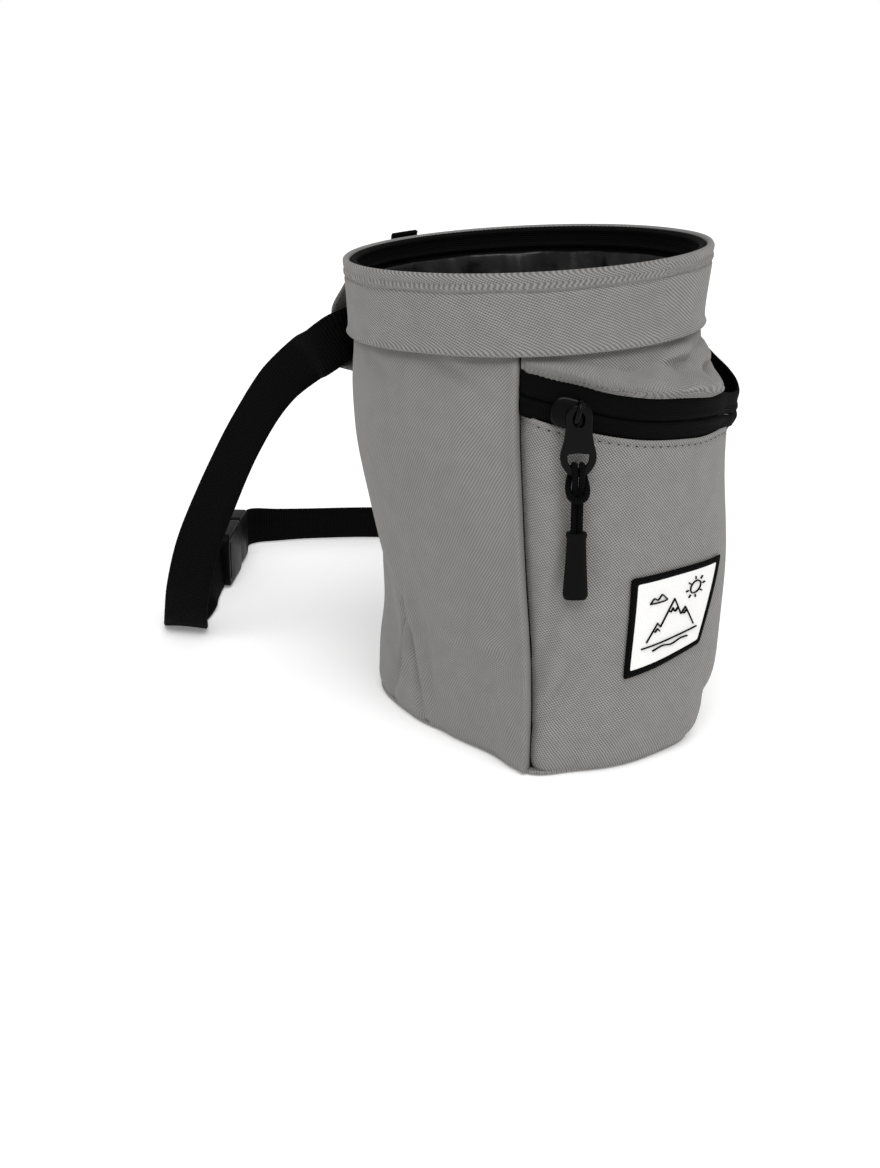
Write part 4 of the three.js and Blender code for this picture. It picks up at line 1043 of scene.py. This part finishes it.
def strap(name, stations, steps):
    """Flat webbing through stations, with rounded edges and its own length and width as coordinates."""
    centres = centripetal([s[0] for s in stations], steps)
    widths = centripetal([s[1] for s in stations], steps)
    run = np.gradient(centres, axis=0)
    run /= np.linalg.norm(run, axis=1)[:, None]
    widths = soften(widths, 13)
    widths = widths - run * np.sum(widths * run, axis=1)[:, None]
    widths /= np.linalg.norm(widths, axis=1)[:, None]
    normal = np.cross(run, widths)
    half, thick = BELT_WIDE / 2, BELT_THICK / 2
    below = [(-half + 0.5, -thick), (-half * 0.5, -thick), (0, -thick), (half * 0.5, -thick),
             (half - 0.5, -thick)]
    profile = below + [(half, 0)] + [(a, thick) for a, _ in reversed(below)] + [(-half, 0)]
    length = np.concatenate([[0], np.cumsum(np.linalg.norm(np.diff(centres, axis=0), axis=1))])
    rings = [[centres[k] + a * widths[k] + b * normal[k] for a, b in profile] for k in range(steps + 1)]
    lifts = np.array([max(0.0, BELT_REST - min(p[2] for p in ring)) for ring in rings])
    highest = [lifts[max(0, k - 6):k + 7].max() for k in range(steps + 1)]
    lifts = soften(np.array(highest)[:, None], 3)[:, 0]
    vertices, uvs = [], []
    for k, ring in enumerate(rings):
        for (a, b), p in zip(profile, ring):
            vertices.append(p + [0, 0, lifts[k]])
            uvs.append((a, length[k]))
    obj = new_object(name, vertices, ring_faces(len(rings), len(profile)), uvs)
    face_outwards(obj)
    return obj


class CHALKBAG_OT_belt(bpy.types.Operator):
    """Makes the webbing belt, its tunnel and the rim tab"""
    bl_idname = "chalkbag.belt"
    bl_label = "Belt"

    def execute(self, context):
        left = belt_in_tunnel(180.4, 180 + TUNNEL_HALF) + [belt_station(r) for r in BELT_LEFT_RUN]
        right = belt_in_tunnel(179.6, 180 - TUNNEL_HALF) + [belt_station(r) for r in reversed(BELT_RIGHT_RUN)]
        finish(strap("belt_left_webbing", left, 260), "webbing", replaces=["belt_left"])
        finish(strap("belt_right_webbing", right, 300), "webbing",
               replaces=["belt_right"])

        s = np.linspace(0, 1, 70)[:, None]
        t = np.linspace(0, 1, 60)[None, :]
        bearing = mix(180 - TUNNEL_HALF, 180 + TUNNEL_HALF, s)
        taller = 0.2 * ((bearing - 180) / TUNNEL_HALF) ** 2
        high = t * (1 + taller)
        z = TUNNEL_UP - tunnel_sag(bearing) + TUNNEL_TALL * (high - 0.5)
        bow = mix(read(TUNNEL_BOW, t), read(TUNNEL_END_BOW, t), taller / 0.2)
        seat = GAP + COLLAR_THICK + GAP + TUNNEL_WALL
        stitch = -0.35 * bell(t, 0.07, 0.018) - 0.35 * bell(t, 0.93, 0.018)
        hem = 0.4 * (bell(s, 0, 0.04) + bell(1, s, 0.04))
        out = mix(seat, tunnel_out(bearing), bow) + stitch + hem + ripple(s * 70, z, 30.0, 5, 0.3) * bow
        tunnel = cloth_shell("belt_tunnel_cloth", bag_point(bearing, z, out), TUNNEL_WALL)
        # The tunnel takes the darker twill, whose colour holds painted shade.
        finish(tunnel, "twill_tunnel_painted_shade", replaces=["belt_tunnel"])

        half = math.degrees(6.0 / MOUTH_RADIUS)
        s = np.linspace(0, 1, 18)[:, None]
        t = np.linspace(0, 1, 24)[None, :]
        z = mix(BAG_HEIGHT - 8, BAG_HEIGHT + 1.8, t)
        fold = 0.5 * bell(t, 1, 0.08)
        face = GAP + COLLAR_THICK + GAP + BELT_THICK
        tab = cloth_shell("rim_tab_webbing", bag_point(mix(180 - half, 180 + half, s), z, face - fold),
                          BELT_THICK)
        finish(tab, "webbing", replaces=["rim_tab"])
        return {"FINISHED"}


class CHALKBAG_OT_patch(bpy.types.Operator):
    """Makes the sewn patch with its thread border and its plain line design"""
    bl_idname = "chalkbag.patch"
    bl_label = "Patch"

    def execute(self, context):
        w, h = PATCH_WIDE / 2, PATCH_TALL / 2
        inner_w, inner_h = w - PATCH_BORDER, h - PATCH_BORDER
        u = np.linspace(-1, 1, 60)[:, None] * (inner_w + 0.6)
        v = np.linspace(-1, 1, 60)[None, :] * (inner_h + 0.6)
        u, v = np.broadcast_arrays(u, v)
        field = cloth_shell("patch_field_cloth", on_patch(u, v, 0.75), 0.4, uvs=np.stack([u, v], -1))
        finish(field, "white", replaces=["patch_field"])
        around, across = 320, 9
        outline = rounded_rectangle(w, h, 1.2, around)
        inner = rounded_rectangle(inner_w, inner_h, 0.5, around)
        share = np.linspace(0, 1, across)[None, :, None]
        flat = mix(outline[:, None, :], inner[:, None, :], share)
        crown = 0.35 + 0.85 * np.sin(np.linspace(0.12, 1, across) * math.pi * 0.93)[None, :]
        points = on_patch(flat[..., 0], flat[..., 1], crown)
        border = cloth_shell("patch_border_thread", points[::-1], -0.3, closed=True)
        finish(border, "border", replaces=["patch_border"])
        strokes = [tube("stroke", on_patch(line[:, 0], line[:, 1], 0.78), 0.66, sides=8, flat=0.4)
                   for line in patch_design()]
        finish(join("patch_line_design", strokes), "ink")
        return {"FINISHED"}


def rounded_rectangle(w, h, r, count):
    """Evenly spaced points round a rectangle with rounded corners."""
    lengths = [2 * (w - r), math.pi * r / 2, 2 * (h - r), math.pi * r / 2] * 2
    ends = np.cumsum(lengths)
    corners = [(w - r, -h + r, -90), (w - r, h - r, 0), (-w + r, h - r, 90), (-w + r, -h + r, 180)]
    points = []
    for k in range(count):
        d = ends[-1] * k / count
        i = int(np.searchsorted(ends, d, side="right"))
        start = ends[i] - lengths[i]
        t = (d - start) / lengths[i]
        cx, cy, angle = corners[i // 2]
        if i % 2:
            a = math.radians(angle + 90 * t)
            points.append((cx + r * math.cos(a), cy + r * math.sin(a)))
        else:
            a = math.radians(angle)
            side = np.array([cx + r * math.cos(a), cy + r * math.sin(a)])
            run = np.array([-math.sin(a), math.cos(a)])
            points.append(tuple(side - run * lengths[i] * (1 - t)))
    return np.array(points)


def on_patch(u, v, out):
    """Places points of the flat patch, in millimetres from its middle, on the pocket."""
    spread = seam_right(PATCH_UP) - seam_left(PATCH_UP)
    degree = math.radians(1) * MOUTH_RADIUS
    s, t = u / PATCH_WIDE + 0.5, v / PATCH_TALL + 0.5
    low_left, low_right, high_right, high_left = PATCH_CORNERS
    pulled = [mix(mix(low_left[k], low_right[k], s), mix(high_left[k], high_right[k], s), t) for k in (0, 1)]
    across, high = pulled[0] * PATCH_WIDE / 2, pulled[1] * PATCH_TALL / 2
    along = 0.5 + PATCH_BEARING / spread + across / degree / spread
    z = PATCH_UP + high
    return front_point(along, z, GAP + out + pocket_detail(along, z))


def smooth_line(points, count=24):
    return centripetal([(x, y, 0.0) for x, y in points], count)[:, :2]


def patch_design():
    """A plain mountain scene: three peaks, snow lines, a sun, a cloud and lines of ground."""
    lines = []
    peaks = [(-12.5, -7), (-8.2, -0.5), (-6.6, -2.4), (-1.2, 7.2), (3.4, -0.2), (5.2, 2.2), (12.0, -7)]
    for a, b in zip(peaks[:-1], peaks[1:]):
        lines.append(np.linspace(a, b, 8))
    lines.append(smooth_line([(-3.4, 3.2), (-2.2, 2.2), (-1.3, 3.5), (-0.2, 2.0), (1.3, 3.3)]))
    lines.append(smooth_line([(-10.0, -3.0), (-8.9, -3.8), (-8.0, -2.8), (-6.6, -4.0)], 14))
    lines.append(smooth_line([(3.9, 0.6), (5.0, -0.4), (6.0, 0.6), (7.2, -0.6)], 14))
    angles = np.linspace(0, 2 * math.pi, 30)
    lines.append(np.column_stack([8.6 + 2.5 * np.cos(angles), 9.2 + 2.5 * np.sin(angles)]))
    for k in range(8):
        a = 2 * math.pi * k / 8 + 0.2
        ray = np.array([math.cos(a), math.sin(a)])
        lines.append(np.array([8.6, 9.2]) + np.outer(np.linspace(3.4, 4.6, 4), ray))
    lines.append(np.linspace((-14.5, -9.0), (14.5, -9.0), 20))
    lines.append(smooth_line([(-9.0, -11.2), (-4, -10.6), (1, -11.6), (6, -10.9), (10, -11.4)]))
    lines.append(smooth_line([(-12.8, 7.8), (-11.2, 9.6), (-9.4, 8.8), (-7.8, 10.4), (-6.0, 9.0),
                              (-4.8, 7.8), (-8.8, 7.5), (-12.8, 7.8)], 36))
    return lines


def settle(obj, place, axes):
    """Moves a piece's mesh to its place, with its own x, y and z along three axes."""
    turn = Matrix([[axes[c][r] for c in range(3)] for r in range(3)]).to_4x4()
    obj.data.transform(Matrix.Translation(Vector(place) * MM) @ turn)
    if turn.determinant() < 0:
        obj.data.flip_normals()


def plate_piece(name, outline, holes, thick, place, axes, bevel=0.3):
    """A flat plate in its own x-z plane from an outline with holes, with rounded edges."""
    curve = bpy.data.curves.new(name, "CURVE")
    curve.dimensions = "2D"
    curve.fill_mode = "BOTH"
    curve.extrude = (thick / 2 - bevel) * MM
    curve.bevel_depth = bevel * MM
    curve.bevel_resolution = 2
    for ring in [outline] + list(holes):
        spline = curve.splines.new("POLY")
        spline.points.add(len(ring) - 1)
        for point, (x, z) in zip(spline.points, ring):
            point.co = (x * MM, z * MM, 0, 1)
        spline.use_cyclic_u = True
    flat = bpy.data.objects.new(name, curve)
    bpy.context.scene.collection.objects.link(flat)
    select_only(flat)
    bpy.ops.object.convert(target="MESH")
    obj = bpy.context.view_layer.objects.active
    bpy.ops.object.mode_set(mode="EDIT")
    bpy.ops.mesh.select_all(action="SELECT")
    bpy.ops.mesh.remove_doubles(threshold=0.00001)
    bpy.ops.mesh.normals_make_consistent(inside=False)
    bpy.ops.object.mode_set(mode="OBJECT")
    obj.data.transform(Matrix.Rotation(math.pi / 2, 4, "X"))
    settle(obj, place, axes)
    shade(obj)
    return obj


def shade(obj, angle=40):
    select_only(obj)
    bpy.ops.object.shade_smooth_by_angle(angle=math.radians(angle))


SLIDER_AT = 0.15
SLIDER_LONG = 12.4
SLIDER_TALL = 8.6
SLIDER_THICK = 2.8
SLIDER_LOW = 1.6
PULL_ALONG = -3.0
SLIDER_CLEAR = 0.35
TAB_WIDE = 11.8
TAB_LONG = 24.0
TAB_THICK = 1.8
CORD_RADIUS = 1.1
CORD_DROP = 20.2
GRIP_LONG = 24.0
PULL_LEAN = 2.59
BUCKLE_UP = 13.6


def slider_axes():
    """Place and axes of the slider: x to the left seam along the zip, y out, z up."""
    at = front_point(SLIDER_AT, zip_height(SLIDER_AT))
    ahead = front_point(SLIDER_AT + 0.03, zip_height(SLIDER_AT + 0.03))
    above = front_point(SLIDER_AT, zip_height(SLIDER_AT) + 5)
    x = (at - ahead) / np.linalg.norm(at - ahead)
    y = np.cross(above - at, x)
    y /= np.linalg.norm(y)
    return at, (x, y, np.cross(x, y))


def pull_axes():
    """Place and axes of the pull, from the frame's hinge."""
    joint = frame["joints"][0]
    place = np.array(joint["pos_m"]) / MM
    x = np.array(joint["axis"], float)
    x /= np.linalg.norm(x)
    level = np.array([x[1], -x[0], 0.0])
    if level[1] > 0:
        level = -level
    z = np.array([0, 0, 1.0]) - level * math.tan(math.radians(PULL_LEAN))
    z /= np.linalg.norm(z)
    return place, (x, np.cross(z, x), z)


class CHALKBAG_OT_pull(bpy.types.Operator):
    """Makes the zip slider and its pull: tab, cord and rubber grip"""
    bl_idname = "chalkbag.pull"
    bl_label = "Zip pull"

    def execute(self, context):
        at, axes = slider_axes()
        x, y, z = axes
        place = lambda a, b, c: at + a * x + b * y + c * z
        top = SLIDER_CLEAR + SLIDER_THICK
        outline = [(SLIDER_LONG / 2 * math.copysign(abs(math.cos(a)) ** 0.6, math.cos(a)),
                    SLIDER_TALL / 2 * math.copysign(abs(math.sin(a)) ** 0.7, math.sin(a))
                    * (1 + 0.12 * math.cos(a)))
                   for a in np.linspace(0, 2 * math.pi, 48, endpoint=False)]
        body = plate_piece("slider_body", outline, [], SLIDER_THICK,
                           place(-1.0, SLIDER_CLEAR + SLIDER_THICK / 2, -SLIDER_LOW), axes, 1.1)
        arch = [place(PULL_ALONG, top - 0.4 + 4.6 * math.sin(a) ** 0.6, -3.8 * math.cos(a) - SLIDER_LOW / 2)
                for a in np.linspace(0.02, math.pi - 0.02, 26)]
        bridge = tube("slider_bridge", arch, 0.95, sides=12)
        slider = join("zip_slider_metal", [body, bridge])
        finish(slider, "slider", replaces=["zip_slider"])

        pivot, paxes = pull_axes()
        pivot = pivot + PULL_ALONG * paxes[0]
        tab_top = 0.9
        outline, ring, slot = tab_outline(tab_top)
        tab = plate_piece("zip_pull_tab_plate", outline, [ring, slot], TAB_THICK, pivot, paxes, 0.45)
        finish(tab, "slider", body="zip_pull", replaces=["zip_pull_tab"])
        px, py, pz = paxes
        knot = lambda a, b, c: pivot + a * px + b * py + c * pz
        bottom = tab_top - TAB_LONG
        clear = TAB_THICK / 2 + CORD_RADIUS + GAP
        # Side, out and up from the tab's lower end.
        # The cord goes up from the grip, over the tab's bar, down behind it, and round.
        half = [(1.08, 0.1, -CORD_DROP - 2), (1.08, 0.1, -CORD_DROP * 0.75), (1.08, 0.3, -9.5),
                (1.1, 0.9, -5.5), (1.15, clear, -1.2), (1.2, clear, 1.4), (1.3, 0.2, 3.6),
                (1.9, -clear, 1.6), (2.9, -clear * 0.8, -2.4), (3.3, 0.6, -5.2), (2.4, 2.6, -7.6)]
        route = [knot(-a, b, bottom + c) for a, b, c in half] + [knot(0, 3.4, bottom - 8.4)]
        route += [knot(a, b, bottom + c) for a, b, c in reversed(half)]
        cord = tube("zip_pull_cord_braid", centripetal(route, 220), CORD_RADIUS, sides=12)
        finish(cord, "cord", body="zip_pull", replaces=["zip_pull_cord"])
        rows = []
        for t in np.linspace(0, 1, 28):
            lip = 0.45 * math.exp(-((t - 0.03) / 0.04) ** 2)
            rows.append((mix(3.3, 4.6, t**1.3) + lip - 0.8 * max(0, (t - 0.93) / 0.07) ** 2,
                         bottom - CORD_DROP - GAP - GRIP_LONG * t))
        grip = grip_mesh(rows, knot)
        finish(grip, "rubber", body="zip_pull", replaces=["zip_pull_grip"])
        return {"FINISHED"}


def tab_outline(top):
    """The tab's outline with its round ring above and its wide slot below, in its own x-z plane."""
    half, long = TAB_WIDE / 2, TAB_LONG
    right = [(0, 0), (2.2, -0.4), (3.7, -1.9), (4.2, -4.2), (4.1, -7.2), (4.4, -10.2),
             (half - 0.9, -13.4), (half - 0.1, -16.4), (half - 0.1, -18.8), (half - 1.2, -21.4),
             (half - 3.0, -23.4), (0, -long)]
    line = smooth_line(right, 40)
    outline = [(x, z + top) for x, z in line] + [(-x, z + top) for x, z in line[-2:0:-1]]
    circle = [(2.4 * math.cos(a), top - 4.6 + 3.1 * math.sin(a))
              for a in np.linspace(0, 2 * math.pi, 28, endpoint=False)]
    slot = [(-4.3, -17.2), (-3.8, -16.2), (0, -15.8), (3.8, -16.2), (4.3, -17.2), (4.0, -19.4),
            (2.7, -21.3), (0, -21.9), (-2.7, -21.3), (-4.0, -19.4)]
    return outline, circle, [(x, z + top) for x, z in slot]


def grip_mesh(rows, knot):
    """A flared rubber grip with softly squared sides."""
    sides = 28
    vertices, faces = [], []
    for width, height in rows:
        for s in range(sides):
            a = 2 * math.pi * s / sides
            c, d = math.cos(a), math.sin(a)
            vertices.append(knot(math.copysign(abs(c) ** 0.7, c) * width,
                                 math.copysign(abs(d) ** 0.7, d) * 2.6, height))
    for k in range(len(rows) - 1):
        for s in range(sides):
            n = (s + 1) % sides
            faces.append((k * sides + s, (k + 1) * sides + s, (k + 1) * sides + n, k * sides + n))
    faces.append(tuple(range(sides)))
    faces.append(tuple(reversed(range((len(rows) - 1) * sides, len(rows) * sides))))
    obj = new_object("zip_pull_grip_rubber", vertices, faces)
    face_outwards(obj)
    shade(obj, 60)
    return obj


class CHALKBAG_OT_buckle(bpy.types.Operator):
    """Makes the fastened side-release buckle"""
    bl_idname = "chalkbag.buckle"
    bl_label = "Buckle"

    def execute(self, context):
        start, end = belt_station(BELT_LEFT_RUN[-1])[0], belt_station(BELT_RIGHT_RUN[0])[0]
        run = (end - start) / np.linalg.norm(end - start)
        upward = np.array([0, 0, 1.0])
        side = np.cross(upward, run)
        middle = (start + end) / 2
        middle[2] = BUCKLE_UP
        axes = (run, side, upward)
        long = np.linalg.norm(end - start)
        place = lambda a, b, c: middle + a * run + b * side + c * upward
        split = -long / 2 + long * 0.6
        socket_long = split + long / 2
        shell = plate_piece("buckle_socket_moulded", rounded_rectangle(socket_long / 2 - 1.3, 12.1, 3.0, 60),
                            [rounded_rectangle(1.6, 10.2, 1.0, 30) - [socket_long / 2 - 4.0, 0]], 8.6,
                            place(-long / 2 + socket_long / 2, 0, 0), axes, 1.1)
        finish(shell, "plastic", replaces=["buckle_socket"])
        plug_long = long / 2 - split
        base = plate_piece("plug_base", rounded_rectangle(plug_long / 2 - 1.2, 11.3, 2.6, 60),
                           [rounded_rectangle(1.6, 10.2, 1.0, 30) + [plug_long / 2 - 4.0, 0]], 7.4,
                           place(split + plug_long / 2, 0, 0), axes, 1.0)
        finish(base, "plastic", replaces=["buckle_plug"])
        return {"FINISHED"}


CAMERA_TURN = -42.0
CAMERA_PITCH = 18.85
CAMERA_FAR = 612.3
CAMERA_LEFT = 42.6
CAMERA_HIGH = 261.0


class CHALKBAG_OT_stage(bpy.types.Operator):
    """Makes the pale floor, the soft studio light and the camera"""
    bl_idname = "chalkbag.stage"
    bl_label = "Stage"

    def execute(self, context):
        turn, pitch = math.radians(CAMERA_TURN), math.radians(CAMERA_PITCH)
        right = Vector((math.cos(turn), math.sin(turn), 0))
        away = Vector((-math.sin(turn), math.cos(turn), 0))
        place = -away * CAMERA_FAR - right * CAMERA_LEFT + Vector((0, 0, CAMERA_HIGH))
        forward = away * math.cos(pitch) - Vector((0, 0, 1)) * math.sin(pitch)
        up = right.cross(forward)
        data = bpy.data.cameras.new("Camera")
        data.lens = 50
        data.sensor_width = 36
        data.clip_end = 50
        camera = bpy.data.objects.new("Camera", data)
        bpy.context.scene.collection.objects.link(camera)
        camera.matrix_world = (Matrix.Translation(place * MM)
                               @ Matrix((right, up, -forward)).transposed().to_4x4())
        context.scene.camera = camera

        bpy.ops.object.select_all(action="DESELECT")
        bpy.ops.mesh.primitive_plane_add(size=40, location=(0, 0, -0.0002))
        floor = bpy.context.view_layer.objects.active
        floor.name = "floor"
        material, tree, shader = start_material("Studio_paper_white", 0.95, specular=0.05)
        shader.inputs["Base Color"].default_value = linear("#fbfbfb")
        shader.inputs["Emission Color"].default_value = (1, 1, 1, 1)
        shader.inputs["Emission Strength"].default_value = 0.17
        floor.data.materials.append(material)

        world = bpy.data.worlds.new("Studio")
        world.use_nodes = True
        tree = world.node_tree
        direction = add_node(tree, "ShaderNodeTexCoord")
        parts = add_node(tree, "ShaderNodeSeparateXYZ", links={0: (direction, "Generated")})
        sky = add_node(tree, "ShaderNodeMapRange", {"interpolation_type": "SMOOTHSTEP"},
                       {"Value": (parts, 2), "From Min": 0.04, "From Max": 0.4, "To Min": 1.0, "To Max": 0.5})
        tree.links.new(sky.outputs[0], tree.nodes["Background"].inputs[1])
        tree.nodes["Background"].inputs[0].default_value = (1, 1, 1, 1)
        context.scene.world = world
        soft_sun("Softbox", bearing=-30, height=57, spread=42, power=1.9)
        context.scene.view_settings.view_transform = "Standard"
        return {"FINISHED"}


def soft_sun(name, bearing, height, spread, power):
    """One broad, even light from a bearing and a height in degrees."""
    data = bpy.data.lights.new(name, "SUN")
    data.energy = power
    data.angle = math.radians(spread)
    light = bpy.data.objects.new(name, data)
    bpy.context.scene.collection.objects.link(light)
    turn, rise = math.radians(bearing), math.radians(height)
    source = Vector((math.sin(turn) * math.cos(rise), -math.cos(turn) * math.cos(rise), math.sin(rise)))
    light.matrix_world = Matrix.Translation(source) @ (-source).to_track_quat("-Z", "Y").to_matrix().to_4x4()


class CHALKBAG_PT_panel(bpy.types.Panel):
    """Lists the sizes, the colours and the pieces"""
    bl_label = "Chalk Bag"
    bl_space_type = "VIEW_3D"
    bl_region_type = "UI"
    bl_category = "Chalk Bag"

    def draw(self, context):
        for group in (context.scene.chalk_bag_sizes, context.scene.chalk_bag_colours):
            for name in group.__annotations__:
                self.layout.prop(group, name)
        for operator in OPERATORS:
            self.layout.operator(operator.bl_idname)


OPERATORS = (
    CHALKBAG_OT_materials, CHALKBAG_OT_stage, CHALKBAG_OT_body, CHALKBAG_OT_collar, CHALKBAG_OT_inside,
    CHALKBAG_OT_front, CHALKBAG_OT_stitches, CHALKBAG_OT_patch, CHALKBAG_OT_pull, CHALKBAG_OT_belt,
    CHALKBAG_OT_buckle,
)
CLASSES = (ChalkBagSizes, ChalkBagColours, *OPERATORS, CHALKBAG_PT_panel)


def register():
    for item in CLASSES:
        bpy.utils.register_class(item)
    bpy.types.Scene.chalk_bag_sizes = bpy.props.PointerProperty(type=ChalkBagSizes)
    bpy.types.Scene.chalk_bag_colours = bpy.props.PointerProperty(type=ChalkBagColours)


def unregister():
    del bpy.types.Scene.chalk_bag_colours
    del bpy.types.Scene.chalk_bag_sizes
    for item in reversed(CLASSES):
        bpy.utils.unregister_class(item)


def main():
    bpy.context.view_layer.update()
    register()
    for operator in OPERATORS:
        group, name = operator.bl_idname.split(".")
        getattr(getattr(bpy.ops, group), name)()


if __name__ == "__main__":
    main()
